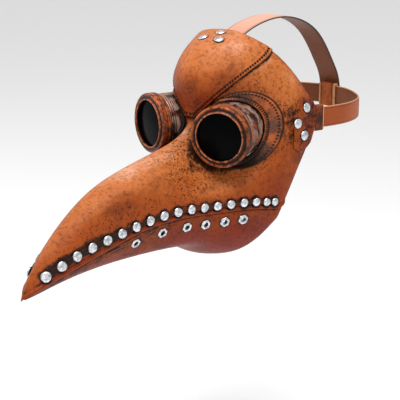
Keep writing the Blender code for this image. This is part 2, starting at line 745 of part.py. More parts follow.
def wire(name, points, radius, closed, finish, matrix, sides=2):
    """Round wire along a path, made a welded mesh."""
    curve = bpy.data.curves.new(name, "CURVE")
    curve.dimensions = "3D"
    curve.bevel_depth = radius * MM
    curve.bevel_resolution = sides
    curve.use_fill_caps = not closed
    spline = curve.splines.new("POLY")
    spline.points.add(len(points) - 1)
    for item, point in zip(spline.points, points):
        item.co = (*(np.asarray(point) * MM), 1)
    spline.use_cyclic_u = closed
    guide = bpy.data.objects.new(name, curve)
    PARTS.objects.link(guide)
    mesh = bpy.data.meshes.new_from_object(guide.evaluated_get(bpy.context.evaluated_depsgraph_get()))
    bpy.data.objects.remove(guide, do_unlink=True)
    work = bmesh.new()
    work.from_mesh(mesh)
    bmesh.ops.remove_doubles(work, verts=work.verts, dist=1e-6)
    work.to_mesh(mesh)
    work.free()
    return add(name, mesh, finish, matrix)


def buckle_pivot():
    """Empty on the heel bar: local X along the flat, local Y away from the head, local Z up."""
    run = Vector(flat_point(1, 0) - flat_point(0, 0))
    away = Vector(flat_point(0, 1) - flat_point(0, 0))
    turn = Matrix((run, away, run.cross(away))).transposed().to_4x4()
    pivot = bpy.data.objects.new("buckle_pivot", None)
    PARTS.objects.link(pivot)
    pivot.matrix_world = Matrix.Translation(Vector(flat_point(HEEL, 0)) * MM) @ turn
    return pivot


FRONT_RISE = 3.0           # the front bar stands this far out, over the left strap


def buckle_frame(pivot):
    """Rectangular frame with rounded corners: heel bar on the pivot, front bar over the left strap."""
    reach = HEEL - FRONT_BAR
    corner = 2.5
    outline = []
    for x, z, begin in ((0, 1, 0), (-reach, 1, 90), (-reach, -1, 180), (0, -1, 270)):
        centre_x = x - corner if x == 0 else x + corner
        for angle in np.radians(np.array([0, 30, 60, 90]) + begin):
            outline.append((centre_x + corner * math.cos(angle),
                            z * (FRAME_HALF - corner) + corner * math.sin(angle)))
    points = [(x, FRONT_RISE * -x / reach, z) for x, z in outline]
    return wire("buckle_frame", points, BAR, True, "steel", pivot.matrix_world)


def buckle_prong(pivot):
    """Prong: an eye round the heel bar and a pin through the left strap, resting on the front bar."""
    reach = HEEL - FRONT_BAR
    eye = BAR + 0.45 + 0.8
    round_bar = np.radians(np.arange(-170, 91, 26))
    points = [(eye * math.cos(angle), eye * math.sin(angle), 0) for angle in round_bar]
    points += [(-2, eye + 0.2, 0), (-reach - 1.6, FRONT_RISE + BAR + 0.8 + 0.5, 0)]
    return wire("buckle_prong", points, 0.8, False, "steel", pivot.matrix_world)


def slots():
    """Oblong hole for the prong in the left strap, and the slot for its eye in the right strap's fold."""
    run = Vector(flat_point(1, 0) - flat_point(0, 0))
    away = Vector(flat_point(0, 1) - flat_point(0, 0))
    turn = Matrix((run, away, run.cross(away))).transposed().to_4x4()
    boxes = {"prong_hole": ((1.2, 2.8, 0), (15, 9, 3.4)), "eye_slot": ((8.2, 0, 0), (11, 9.5, 3.4))}
    made = {}
    for name, (middle, size) in boxes.items():
        work = bmesh.new()
        scale = Matrix.Diagonal(Vector(size) * MM).to_4x4()
        place = Matrix.Translation(Vector(flat_point(*middle)) * MM)
        bmesh.ops.create_cube(work, size=1, matrix=place @ turn @ scale)
        mesh = bpy.data.meshes.new(name)
        work.to_mesh(mesh)
        work.free()
        made[name] = add_cutter(name, mesh)
    return made


# ---- assembly ----------------------------------------------------------------------------
SKIN_TREE = skin_tree()
shell = face_shell()
jaw = jaw_panel()
panel = forehead_panel()
for side in SIDES:
    goggle_barrel(side)
    eye_surround(side)
    goggle_rim(side)
    lens(side)
    lens_retainer(side)
    beak_rivet_strip(side)
tabs = [temple_tab(side) for side in SIDES]
straps = [rear_strap_left(), rear_strap_right()]
crown = top_strap()
for side in SIDES:
    strap_keeper(side)
top_strap_loop()
buckle_keeper()

forehead_frames, temple_frames = rivets()
eyelet_frames = eyelets()
eye_holes = cylinders("eye_holes", [goggle_matrix(side) for side in SIDES], BARREL_RADIUS + GAP,
                      -6, -75, 28)
forehead_holes = cylinders("forehead_holes", forehead_frames, HOLE, 3, -STACK - 2)
temple_holes = cylinders("temple_holes", list(temple_frames.values()), HOLE, 3, -SHORT_STACK - 2)
strap_holes = cylinders("strap_holes", [temple_frames[side, "front"] for side in SIDES], HOLE,
                        0, -LONG_STACK - 2)
eyelet_holes = cylinders("eyelet_holes", eyelet_frames, EYELET_HOLE, 4, -SHELL - 4)
for item, cutter in ((shell, eye_holes), (shell, forehead_holes), (shell, temple_holes), (jaw, eyelet_holes),
                     (panel, forehead_holes), (crown, forehead_holes), (tabs[0], temple_holes),
                     (tabs[1], temple_holes), (straps[0], strap_holes), (straps[1], strap_holes)):
    cut(item, cutter)

pivot = buckle_pivot()
buckle_frame(pivot)
buckle_prong(pivot)
prong_slots = slots()
cut(straps[0], prong_slots["prong_hole"])
cut(straps[1], prong_slots["eye_slot"])
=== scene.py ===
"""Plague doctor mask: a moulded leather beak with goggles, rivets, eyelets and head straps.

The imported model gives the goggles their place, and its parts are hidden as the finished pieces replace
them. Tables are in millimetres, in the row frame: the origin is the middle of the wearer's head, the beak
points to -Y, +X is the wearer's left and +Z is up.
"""
import math
import bmesh
import bpy
import numpy as np
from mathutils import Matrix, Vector
from mathutils.bvhtree import BVHTree


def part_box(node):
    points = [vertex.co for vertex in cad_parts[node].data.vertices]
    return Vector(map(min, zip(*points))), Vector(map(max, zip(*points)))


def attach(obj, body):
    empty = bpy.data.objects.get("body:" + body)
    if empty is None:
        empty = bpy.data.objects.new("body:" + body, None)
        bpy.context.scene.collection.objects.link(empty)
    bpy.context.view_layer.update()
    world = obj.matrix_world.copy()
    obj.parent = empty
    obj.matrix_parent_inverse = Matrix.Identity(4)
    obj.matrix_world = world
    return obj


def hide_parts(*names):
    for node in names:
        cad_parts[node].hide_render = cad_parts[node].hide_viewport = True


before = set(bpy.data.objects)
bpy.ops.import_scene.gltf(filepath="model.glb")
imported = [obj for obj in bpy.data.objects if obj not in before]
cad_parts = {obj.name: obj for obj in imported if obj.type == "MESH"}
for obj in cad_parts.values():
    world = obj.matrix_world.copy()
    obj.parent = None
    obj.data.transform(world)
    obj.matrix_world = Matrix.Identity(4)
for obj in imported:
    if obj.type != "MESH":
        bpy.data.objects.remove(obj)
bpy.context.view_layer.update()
MM = 0.001
SIDES = {"left": 1, "right": -1}

# ---- Camera, lights and floor ----------------------------------------------------------------
# A long lens from the wearer's front left, a little above. A wide softbox hangs over the mask,
# a weaker one fills from the camera's side, and the floor is a plain pale sheet well below.
camera = bpy.data.objects.new("camera", bpy.data.cameras.new("camera"))
bpy.context.scene.collection.objects.link(camera)
camera.data.lens, camera.data.sensor_width = 108, 36
camera.location = (0.7173, -0.9319, 0.2622)
camera.rotation_euler = (math.radians(90 - 16.5), 0, math.radians(41))
bpy.context.scene.camera = camera


def softbox(name, place, aim, size, power):
    """Square area light at a place, in metres, turned to face a point."""
    light = bpy.data.lights.new(name, "AREA")
    light.size, light.energy = size, power
    item = bpy.data.objects.new(name, light)
    item.location = place
    item.rotation_euler = (Vector(aim) - Vector(place)).to_track_quat("-Z", "Y").to_euler()
    bpy.context.scene.collection.objects.link(item)


softbox("top_light", (0.15, -0.35, 1.3), (0, -0.12, 0), 0.7, 15)
softbox("front_light", (1.0, -1.5, 0.8), (0, -0.15, -0.05), 1.0, 3)
softbox("left_light", (-1.5, -0.7, 0.5), (0, -0.15, 0), 0.8, 4)

world = bpy.data.worlds.new("studio")
world.use_nodes = True
world.node_tree.nodes["Background"].inputs["Color"].default_value = (1, 1, 1, 1)
world.node_tree.nodes["Background"].inputs["Strength"].default_value = 0.72
bpy.context.scene.world = world
bpy.context.scene.view_settings.view_transform = "Standard"

floor_mesh = bpy.data.meshes.new("floor")
floor_mesh.from_pydata([(-9, -9, -0.34), (9, -9, -0.34), (9, 9, -0.34), (-9, 9, -0.34)], [], [(0, 1, 2, 3)])
floor = bpy.data.objects.new("floor", floor_mesh)
bpy.context.scene.collection.objects.link(floor)
floor_finish = bpy.data.materials.new("floor")
floor_finish.use_nodes = True
floor_finish.node_tree.nodes["Principled BSDF"].inputs["Base Color"].default_value = (0.97, 0.97, 0.97, 1)
floor_finish.node_tree.nodes["Principled BSDF"].inputs["Roughness"].default_value = 0.9
floor_mesh.materials.append(floor_finish)

# ---- Face shell ------------------------------------------------------------------------------
# The one-piece upper shell, from the beak's tip over the bridge to the forehead and temples: vegetable-
# tanned leather moulded wet over a form, dyed burnt orange, then antiqued with black-brown wax that
# stays in the low places. Its lower edge is rolled over the jaw and riveted.
MOULD = np.array([
    # ridge of the beak, bridge and middle of the forehead
    [(0, -332, -99), (0, -316, -75), (0, -285, -48), (0, -245, -25),
     (0, -205, -14), (0, -168, -6), (0, -140, 3), (0, -121, 18),
     (0, -124, 45), (0, -118, 68), (0, -98, 86), (0, -65, 93.5)],
    # rounding beside the ridge
    [(0, -332, -99), (5, -316, -78.5), (9, -285, -52), (13, -245, -29.5),
     (17, -205, -19), (18, -168, -13), (13, -138, -6), (15, -113, 9),
     (24, -111, 40), (29, -103, 64), (30, -84, 81), (27, -68, 91)],
    # upper side of the beak and brow
    [(0, -332, -99), (8, -316, -82.5), (14.5, -285, -59.5), (20.5, -245, -41),
     (26.5, -205, -32), (32, -168, -31), (34, -136, -28), (41, -102, -13),
     (47, -86, 22), (52, -72, 50), (54, -58, 66), (51, -52, 73)],
    # side of the beak, below the goggle, temple
    [(0, -332, -99), (9.2, -316, -85.5), (16.3, -285, -66), (23.5, -245, -53),
     (30, -205, -44), (38, -168, -41), (46, -137, -40), (56, -105, -30),
     (64, -80, -2), (68, -61, 24), (69, -47, 38), (69, -31, 37)],
    # cheek
    [(0, -332, -99), (9.5, -316, -88), (16.7, -285, -73), (24.5, -245, -60.5),
     (31.5, -205, -51.5), (40, -168, -49), (48, -139, -49), (60, -111, -44),
     (69, -86, -34), (73.5, -68, -22), (76, -52, -10), (77, -37, 2)],
    # lip, where the face shell meets the jaw
    [(0, -332, -99), (8.7, -316, -90), (16, -285, -80), (24, -245, -68),
     (31, -205, -59), (39.5, -168, -57), (47, -140, -58.5), (59, -114, -58.5),
     (66, -97, -60), (69.5, -82, -62.5), (71, -72, -62), (68.5, -66, -56)],
    # side of the jaw
    [(0, -332, -99), (7.2, -316, -91.5), (13.5, -285, -84), (21, -245, -75),
     (28, -205, -69), (37, -168, -69), (44.5, -141, -72), (55, -117, -73.5),
     (61, -101, -75), (64, -88, -77.5), (65, -79, -78), (62.5, -76, -75)],
    # lower edge of the jaw
    [(0, -332, -99), (4, -316, -95.5), (7.5, -285, -90), (12.5, -245, -86),
     (18, -205, -85.5), (25, -168, -86.5), (32, -143, -89), (38, -126, -94),
     (42, -112, -98.5), (44, -103, -101), (44, -96, -102), (43, -87, -98)],
    # keel under the beak and chin
    [(0, -332, -99), (0, -316, -97), (0, -285, -93), (0, -245, -90.5),
     (0, -205, -90), (0, -168, -92), (0, -146, -97), (0, -132, -104),
     (0, -122, -109), (0, -114, -111.5), (0, -106, -112.5), (0, -98, -112)],
], float)
LINES, STATIONS = MOULD.shape[:2]
LAST = STATIONS - 1
LIP = 5
AROUND = np.concatenate([(MOULD * [-1, 1, 1])[:0:-1], MOULD, (MOULD * [-1, 1, 1])[-2::-1]])
WALL = 2.6
LIP_GAP = 0.65


def spline_weights(count, place):
    """Weights of evenly spaced points on a natural cubic spline: each span mixes its two ends by distance
    and adds their second differences times (t cubed - t) / 6."""
    second = 4 * np.eye(count) + np.eye(count, k=1) + np.eye(count, k=-1)
    right = 6 * (np.eye(count, k=1) - 2 * np.eye(count) + np.eye(count, k=-1))
    second[0] = second[-1] = 0
    second[0, 0] = second[-1, -1] = 1
    right[0] = right[-1] = 0
    bend = np.linalg.solve(second, right)
    start = np.clip(place.astype(int), 0, count - 2)
    after = (place - start)[:, None]
    before = 1 - after
    own = np.eye(count)
    return (before * own[start] + after * own[start + 1]
            + ((before ** 3 - before) * bend[start] + (after ** 3 - after) * bend[start + 1]) / 6)


def unit(vectors):
    """The vectors divided by their lengths."""
    return vectors / np.linalg.norm(vectors, axis=-1, keepdims=True)


def travelled(points, axis):
    """Distance run along one direction of a grid of points, starting from 0."""
    steps = np.linalg.norm(np.diff(points, axis=axis), axis=-1)
    return np.insert(np.cumsum(steps, axis=axis), 0, 0, axis=axis)


def circle_angles(sides):
    """Evenly spaced angles of a full turn."""
    return np.arange(sides) * 2 * np.pi / sides


def folded(points):
    """Points with those on the wearer's right mirrored to the left."""
    return points * np.where(points[..., :1] < 0, [-1, 1, 1], [1, 1, 1])


def skin(u, v):
    """Point of the mould: splines across the lines (u from the ridge, negative on the right) and along
    the stations (v from the tip), multiplied together."""
    u, v = np.broadcast_arrays(np.asarray(u, float), np.asarray(v, float))
    across = spline_weights(len(AROUND), u.ravel() + LINES - 1)
    along = spline_weights(STATIONS, v.ravel())
    rows = np.einsum("mb,abc->mac", along, AROUND)
    return np.einsum("ma,mac->mc", across, rows).reshape(*u.shape, 3)


def skin_normal(u, v):
    """Outward unit normal of the mould: the cross product of its two small steps."""
    step = 0.01
    v = np.maximum(v, 0.1)
    inside = np.minimum(v + step, LAST)
    return unit(np.cross(skin(u + step, v) - skin(u - step, v), skin(u, inside) - skin(u, inside - 2 * step)))


def lip_line(v, distance, side):
    """Line number a distance from the lip, measured along each station's ring; side -1 is towards the
    ridge and 1 towards the keel."""
    v = np.atleast_1d(np.asarray(v, float))
    reach, fineness = 4, 121
    steps = LIP + side * np.linspace(0, reach, fineness)
    run = travelled(skin(steps[None], v[:, None]), 1)
    return np.array([np.interp(d, r, steps) for d, r in zip(np.broadcast_to(distance, v.shape), run)])


def lattice(rows, columns, start=0, ring=False, loop=False):
    """Quads between neighbouring points of a grid; in a ring the last column meets the first, and in a
    loop the last row meets the first."""
    row = np.arange(rows if loop else rows - 1)[:, None] * columns
    column = np.arange(columns if ring else columns - 1)[None]
    below, beside = (row + columns) % (rows * columns), (column + 1) % columns
    corners = [row + column, row + beside, below + beside, below + column]
    return start + np.stack(corners, -1).reshape(-1, 4)


def hoop(rows, columns):
    """Faces of a ring with a closed section: a lattice that meets itself both ways."""
    return [lattice(rows, columns, ring=True, loop=True)]


def skirt(fine, coarse):
    """Triangles and quads that join a border to one with half as many steps."""
    a, b, c = fine[:-1:2], fine[1::2], fine[2::2]
    return [np.stack([a, b, coarse[:-1]], -1), np.stack([b, c, coarse[1:], coarse[:-1]], -1)]


def walled(outer, inner):
    """Points and faces of a closed wall: a fine outer grid, an inner grid with half its steps, and their
    four borders joined."""
    rows, columns = outer.shape[:2]
    low_rows, low_columns = inner.shape[:2]
    count = rows * columns
    o = np.arange(count).reshape(rows, columns)
    i = count + np.arange(low_rows * low_columns).reshape(low_rows, low_columns)
    faces = [lattice(rows, columns), lattice(low_rows, low_columns, count)[:, ::-1]]
    faces += skirt(o[0, ::-1], i[0, ::-1]) + skirt(o[-1], i[-1])
    faces += skirt(o[:, 0], i[:, 0]) + skirt(o[::-1, -1], i[::-1, -1])
    return np.concatenate([outer.reshape(-1, 3), inner.reshape(-1, 3)]), faces


def piece(name, points, faces, finish, nodes=(), body="mask", marks=None, uv=None):
    """Finished piece from points in millimetres and arrays of faces. Marks are numbers per point, kept as
    attributes, and uv two per point. Points that coincide are merged, and the faces point outwards."""
    points = np.asarray(points, float).reshape(-1, 3)
    mesh = bpy.data.meshes.new(name)
    corners = np.concatenate([group.ravel() for group in faces])
    counts = np.concatenate([np.full(len(group), group.shape[1]) for group in faces])
    mesh.vertices.add(len(points))
    mesh.vertices.foreach_set("co", (points * MM).ravel())
    mesh.loops.add(len(corners))
    mesh.loops.foreach_set("vertex_index", corners)
    mesh.polygons.add(len(counts))
    mesh.polygons.foreach_set("loop_start", np.concatenate([[0], np.cumsum(counts)[:-1]]))
    mesh.update(calc_edges=True)
    marks = dict(marks or {})
    if marks:
        marks["outside"] = np.ones(max(values.size for values in marks.values()))
    for mark, values in marks.items():
        attribute = mesh.attributes.new(mark, "FLOAT", "POINT")
        full = np.zeros(len(points), np.float32)
        full[:values.size] = values.ravel()
        attribute.data.foreach_set("value", full)
    if uv is not None:
        full = np.zeros((len(points), 2), np.float32)
        full[:uv.size // 2] = uv.reshape(-1, 2)
        mesh.uv_layers.new(name="UVMap").data.foreach_set("uv", full[corners].ravel())
    work = bmesh.new()
    work.from_mesh(mesh)
    bmesh.ops.remove_doubles(work, verts=work.verts, dist=1e-6)
    if work.calc_volume(signed=True) < 0:
        bmesh.ops.reverse_faces(work, faces=work.faces)
    work.to_mesh(mesh)
    work.free()
    mesh.polygons.foreach_set("use_smooth", np.ones(len(mesh.polygons), bool))
    mesh.materials.append(finish)
    item = bpy.data.objects.new(name, mesh)
    bpy.context.scene.collection.objects.link(item)
    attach(item, body)
    if nodes:
        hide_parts(*nodes)
    return item


def smoothstep(low, high, value):
    """0 below low, 1 above high, and 3t^2 - 2t^3 between."""
    t = np.clip((value - low) / (high - low), 0, 1)
    return t * t * (3 - 2 * t)


def bell(value, middle, width):
    """1 at the middle and 1/e a width away from it: e to the minus square of the distance in widths."""
    return np.exp(-((value - middle) / width) ** 2)


def highest(*marks):
    """The greatest of several marks at each point."""
    return np.maximum.reduce(marks)


def nearest(points, targets):
    """Distance from each point of a grid to the closest of the targets."""
    flat = points.reshape(-1, 3)
    best = np.full(len(flat), np.inf)
    for target in np.asarray(targets, float).reshape(-1, 3):
        np.minimum(best, ((flat - target) ** 2).sum(1), out=best)
    return np.sqrt(best).reshape(points.shape[:-1])


class Finish:
    """A material under construction: each call adds a node and gives back its first output."""

    def __init__(self, name):
        self.material = bpy.data.materials.new(name)
        self.material.use_nodes = True
        self.tree = self.material.node_tree
        self.shader = self.tree.nodes["Principled BSDF"]
        self.place = self.node("ShaderNodeTexCoord").node.outputs["Object"]

    def feed(self, socket, value):
        if isinstance(value, bpy.types.NodeSocket):
            self.tree.links.new(value, socket)
        elif hasattr(value, "__len__") and len(value) == 3 and len(socket.default_value) == 4:
            socket.default_value = (*value, 1)
        else:
            socket.default_value = value

    def node(self, kind, inputs=(), **settings):
        made = self.tree.nodes.new(kind)
        for key, value in settings.items():
            setattr(made, key, value)
        for key, value in dict(inputs).items():
            self.feed(made.inputs[key], value)
        return made.outputs[0]

    def noise(self, scale, detail=4, roughness=0.6, place=None, distortion=0.0):
        return self.node("ShaderNodeTexNoise", {
            "Vector": place or self.place, "Scale": scale, "Detail": detail, "Roughness": roughness,
            "Distortion": distortion})

    def mark(self, name):
        return self.node("ShaderNodeAttribute", attribute_name=name).node.outputs["Fac"]

    def math(self, operation, a, b=0.0):
        return self.node("ShaderNodeMath", {0: a, 1: b}, operation=operation)

    def plus(self, a, b):
        return self.math("ADD", a, b)

    def minus(self, a, b):
        return self.math("SUBTRACT", a, b)

    def times(self, a, b):
        return self.math("MULTIPLY", a, b)

    def ramp(self, value, low, high):
        """0 to 1 as the value goes from low to high, smoothly."""
        return self.node("ShaderNodeMapRange", {"Value": value, "From Min": low, "From Max": high},
                         interpolation_type="SMOOTHSTEP")

    def mix(self, share, a, b):
        made = self.tree.nodes.new("ShaderNodeMix")
        made.data_type = "RGBA"
        for key, value in ((0, share), (6, a), (7, b)):
            self.feed(made.inputs[key], value)
        return made.outputs[2]

    def over(self, colour, coat, value, low, high, amount=None):
        """A colour with a coat laid over it as the value goes from low to high, times an amount."""
        share = self.ramp(value, low, high)
        return self.mix(share if amount is None else self.times(share, amount), colour, coat)

    def broken(self, mark, noise, amount):
        """A mark with its edge broken up: an amount times a noise's distance from a half is added."""
        return self.plus(self.mark(mark), self.times(self.minus(noise, 0.5), amount))

    def stretched(self, scale):
        return self.node("ShaderNodeMapping", {"Vector": self.place, "Scale": scale})

    def bump(self, painted_light_and_tone, distance):
        return self.node("ShaderNodeBump", {"Height": painted_light_and_tone, "Distance": distance, "Strength": 1.0})

    def set(self, **inputs):
        for key, value in inputs.items():
            self.feed(self.shader.inputs[key.replace("_", " ")], value)
        return self.material


def worn_leather(name, light, middle, deep, dusk=(0.10, 0.016, 0.004), gloss=0.4):
    """Antiqued leather: painted light, with the light colour on top and the deep one below as painted shade,
    broken in cloudy patches, and a pale painted highlight on the highest parts; dusky mottling and streaks,
    near-black for black wax and painted shade where the grime_and_shade mark is high, and small pits where
    the pits mark is; the bump has the grain, the mottling and the pits."""
    make = Finish(name)
    cloud, mottle, grain = make.noise(26, 5, 0.62), make.noise(290, 6, 0.7), make.noise(1100, 3, 0.55)
    streak = make.noise(1, 5, 0.65, make.stretched((52, 14, 30)), 0.5)
    # painted light: the deep colour is painted shade on downward parts and the light colour painted light on
    # up-facing ones
    light_and_dye = make.broken("painted_light_and_tone", cloud, 0.75)
    colour = make.over(deep, middle, light_and_dye, 0.1, 0.55)
    colour = make.over(colour, light, light_and_dye, 0.5, 1.0)
    # pale painted highlight on the highest up-facing parts
    colour = make.over(colour, (0.80, 0.45, 0.30), light_and_dye, 0.92, 1.2, 0.8)
    colour = make.over(colour, dusk, mottle, 0.47, 0.66, 0.55)
    colour = make.over(colour, dusk, streak, 0.5, 0.72, 0.6)
    # pits: the hearts of a fine noise, kept only where a coarser noise and the pits mark agree
    spot = make.ramp(make.noise(560, 4, 0.6), 0.57, 0.63)
    scatter = make.ramp(make.plus(make.noise(95, 4, 0.7), make.times(make.mark("pits"), 0.26)), 0.58, 0.78)
    pit = make.times(spot, scatter)
    grime_and_shade = make.ramp(make.broken("grime_and_shade", make.noise(135, 6, 0.72), 2.6), 0.25, 0.85)
    grime_and_shade = make.times(grime_and_shade, make.ramp(make.mark("grime_and_shade"), 0.0, 0.3))
    # near-black: black wax and painted shade where grime_and_shade is high, and the pits
    dark = (0.014, 0.005, 0.003)
    colour = make.mix(make.times(pit, 0.85), colour, dark)
    colour = make.mix(make.times(grime_and_shade, 0.96), colour, dark)
    colour = make.over((0.035, 0.013, 0.007), colour, make.mark("outside"), 0.1, 0.6)
    relief = make.plus(make.times(mottle, 0.5), make.times(grain, 0.16))
    return make.set(Base_Color=colour, Roughness=make.plus(make.times(mottle, 0.3), gloss - 0.13),
                    Normal=make.bump(make.minus(relief, make.times(pit, 0.7)), 0.001),
                    Specular_IOR_Level=0.16)


RIVETS_PER_SIDE = 18
FIRST_RIVET, LAST_RIVET, ROW_EASE = 1.15, 8.8, 1.136


def rivet_height(v):
    """Height of the beak's rivet row above the lip: 7.5 mm, with a smooth rise in the middle of the beak."""
    return 7.5 + 3.8 * bell(v, 2.2, 0.9)


ROW_STEPS = 240
row_v = np.linspace(FIRST_RIVET - 0.12, LAST_RIVET + 0.2, ROW_STEPS)
row_u = lip_line(row_v, rivet_height(row_v), -1)
row_line = skin(row_u, row_v)
inner_part = (row_v >= FIRST_RIVET) & (row_v <= LAST_RIVET)
row_run = travelled(row_line[inner_part], 0)
rivet_v = np.interp(row_run[-1] * (1 - (1 - np.arange(RIVETS_PER_SIDE) / (RIVETS_PER_SIDE - 1)) ** ROW_EASE),
                    row_run, row_v[inner_part])
rivet_u = np.interp(rivet_v, row_v, row_u)
rivet_points = skin(rivet_u, rivet_v)

# goggle axes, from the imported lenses: their middle, their outward direction and the rim's front
GOGGLE_SPLAY = math.radians(17.5)
LENS_BEHIND_FRONT, GOGGLE_HOLE = 4.1, 27.0


def goggle_axes(side):
    """Front centre of a goggle's rim, its outward axis and its across direction, from the lens node."""
    low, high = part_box(f"lens_{side}")
    sign = SIDES[side]
    axis = np.array([sign * math.sin(GOGGLE_SPLAY), -math.cos(GOGGLE_SPLAY), 0])
    across = np.array([math.cos(GOGGLE_SPLAY), sign * math.sin(GOGGLE_SPLAY), 0]) * sign
    return np.array((low + high) / 2) / MM + axis * LENS_BEHIND_FRONT, axis, across


def goggle_polar(points, side):
    """Radius and angle of points about a goggle's axis; 0 is the temple side and 90 degrees is up."""
    centre, _, across = goggle_axes(side)
    away = points - centre
    x, y = away @ across, away[..., 2]
    return np.hypot(x, y), np.arctan2(y, x)


PANEL_BOTTOM = 7.15


def seam_line(v):
    """Line number of the forehead seam: it opens quickly above the bridge, then runs up to the rim."""
    return 0.35 + 1.55 * (1 - np.exp(-(v - PANEL_BOTTOM) / 1.7))


seam_v = np.linspace(PANEL_BOTTOM, LAST, 80)
seam_edge = np.concatenate([skin(seam_line(seam_v), seam_v), skin(np.linspace(0, 0.35, 8), PANEL_BOTTOM)])
BEAK_ROOT_Y = -175


def shell_marks(points, normals, v, lip_run):
    """Grime-and-shade, pit and painted light marks of the shell: sums of smooth steps of the distance to the
    rivets, the rivet row, the goggles, the seam, the lip and the head edge. Black wax lies along the rivet
    row, at the head edge and at the temple; the rings round the rivets, the shade round the goggles and the
    line along the seam are painted shade. Points on the right use the mirrored distances."""
    half = folded(points)
    to_rivet = nearest(half, rivet_points)
    to_row = nearest(half, row_line[::2])
    to_seam = nearest(half, seam_edge)
    above = lip_run > rivet_height(v)
    reach = np.where(above, 9.0, 5.5)
    band = (1 - smoothstep(reach * 0.4, reach * 1.1, to_row)) * (1 - smoothstep(2.7, 4.2, v)) \
        * smoothstep(0.75, 1.15, v)
    thin_band = (1 - smoothstep(2.4, 6.6, to_row)) * 0.6 * smoothstep(0.9, 1.2, v)
    # halo: painted shadow, a dark ring round each rivet head
    halo = 1 - smoothstep(4.6, 8.0, to_rivet)
    radius, angle = goggle_polar(half, "left")
    # shadow: painted shade round the foot of the goggle
    under = 0.5 - 0.5 * np.cos(angle - math.radians(50))      # most on the nose side and underneath
    shadow = (1 - smoothstep(30, 34 + 9 * under, radius)) * (half[..., 1] > BEAK_ROOT_Y)
    # grime_and_shade: wax along the rivet row, painted shadow round the rivets and goggles, painted shade
    # along the seam, and a darker valley above the lip
    grime_and_shade = highest(band, thin_band, halo * 0.95, shadow * (0.35 + 0.65 * under),
                    1 - smoothstep(0.6, 3.4, to_seam), 0.7 * bell(lip_run, 4.6, 0.8))
    edge = (LAST - v) * 30
    grime_and_shade = np.maximum(grime_and_shade, 0.55 * (1 - smoothstep(1.0, 5.0, edge)))
    temple = np.linalg.norm(half - [73, -48, 12], axis=-1)
    grime_and_shade = np.maximum(grime_and_shade, 0.6 * (1 - smoothstep(10, 40, temple)))
    nose = bell(np.linalg.norm(half - [22, -150, -20], axis=-1), 0, 22)
    flank = bell(to_row, 14, 7) * above * (v > 2.2) * (v < 5.5) * 0.6
    patch = bell(np.linalg.norm(half - [16, -235, -42], axis=-1), 0, 13)
    pits = 0.12 + nose + flank + 0.6 * patch + 0.7 * bell(radius, 42, 7) + 0.5 * grime_and_shade
    # painted light: lighter on up-facing and higher parts, darker near the head edge
    at_head = bell(edge, 0, 16) * smoothstep(10, 40, half[..., 0])
    painted_light_and_tone = np.clip(0.5 + 0.62 * normals[..., 2] + (half[..., 2] - 10) / 260 - 0.45 * at_head, 0, 1)
    return {"grime_and_shade": grime_and_shade, "pits": pits, "painted_light_and_tone": painted_light_and_tone}


def moulded(rows, columns, edge_of, middle, low_v):
    """Outer and inner grids of a moulded wall between two lines: the skin, and the skin moved in by the
    wall's thickness, which grows from nothing near the tip so that the tip is solid."""
    v = low_v + (LAST - low_v) * np.linspace(0, 1, rows)
    edge = edge_of(np.maximum(v, 0.1))
    u = middle + (middle - edge)[:, None] * np.linspace(-1, 1, columns) if middle else \
        edge[:, None] * np.linspace(-1, 1, columns)
    v = np.repeat(v[:, None], columns, axis=1)
    outer, normals = skin(u, v), skin_normal(u, v)
    inner = (outer - normals * WALL)[::2, ::2]
    core = (outer[:, :1] + outer[:, -1:])[::2] / 2
    inner = core + (inner - core) * np.clip((v[::2, ::2, None] - 0.6) / 0.6, 0, 1)
    return u, v, outer, normals, inner


def lip_distance(points):
    """Distance of each point from the nearer end of its row, along the row."""
    run = travelled(points, 1)
    return np.minimum(run, run[:, -1:] - run)


SHELL_ROWS, SHELL_COLUMNS = 291, 221
u, v, outer, normals, inner = moulded(SHELL_ROWS, SHELL_COLUMNS, lambda v: lip_line(v, LIP_GAP / 2, -1), 0, 0)
run = lip_distance(outer)
marks = shell_marks(outer, normals, v, run)
# the rolled lip stands up along the edge, with a shallow valley above it
open_by = smoothstep(0.15, 1.0, v)
roll = 1.1 * bell(run, 1.6, 1.5) - 0.7 * bell(run, 4.8, 1.3)
sink = -0.5 * (1 - smoothstep(4.8, 7.5, nearest(folded(outer), rivet_points)))
outer = outer + normals * ((roll + sink) * open_by)[..., None]
# painted light and shade: light, middle and deep are lit, middle and shaded copies of the orange leather
shell_leather = worn_leather("orange_leather", (0.52, 0.15, 0.035), (0.35, 0.068, 0.008),
                             (0.24, 0.028, 0.002))
points, faces = walled(outer, inner)
face_shell = piece("face_shell_leather", points, faces, shell_leather, ["face_shell"], marks=marks)


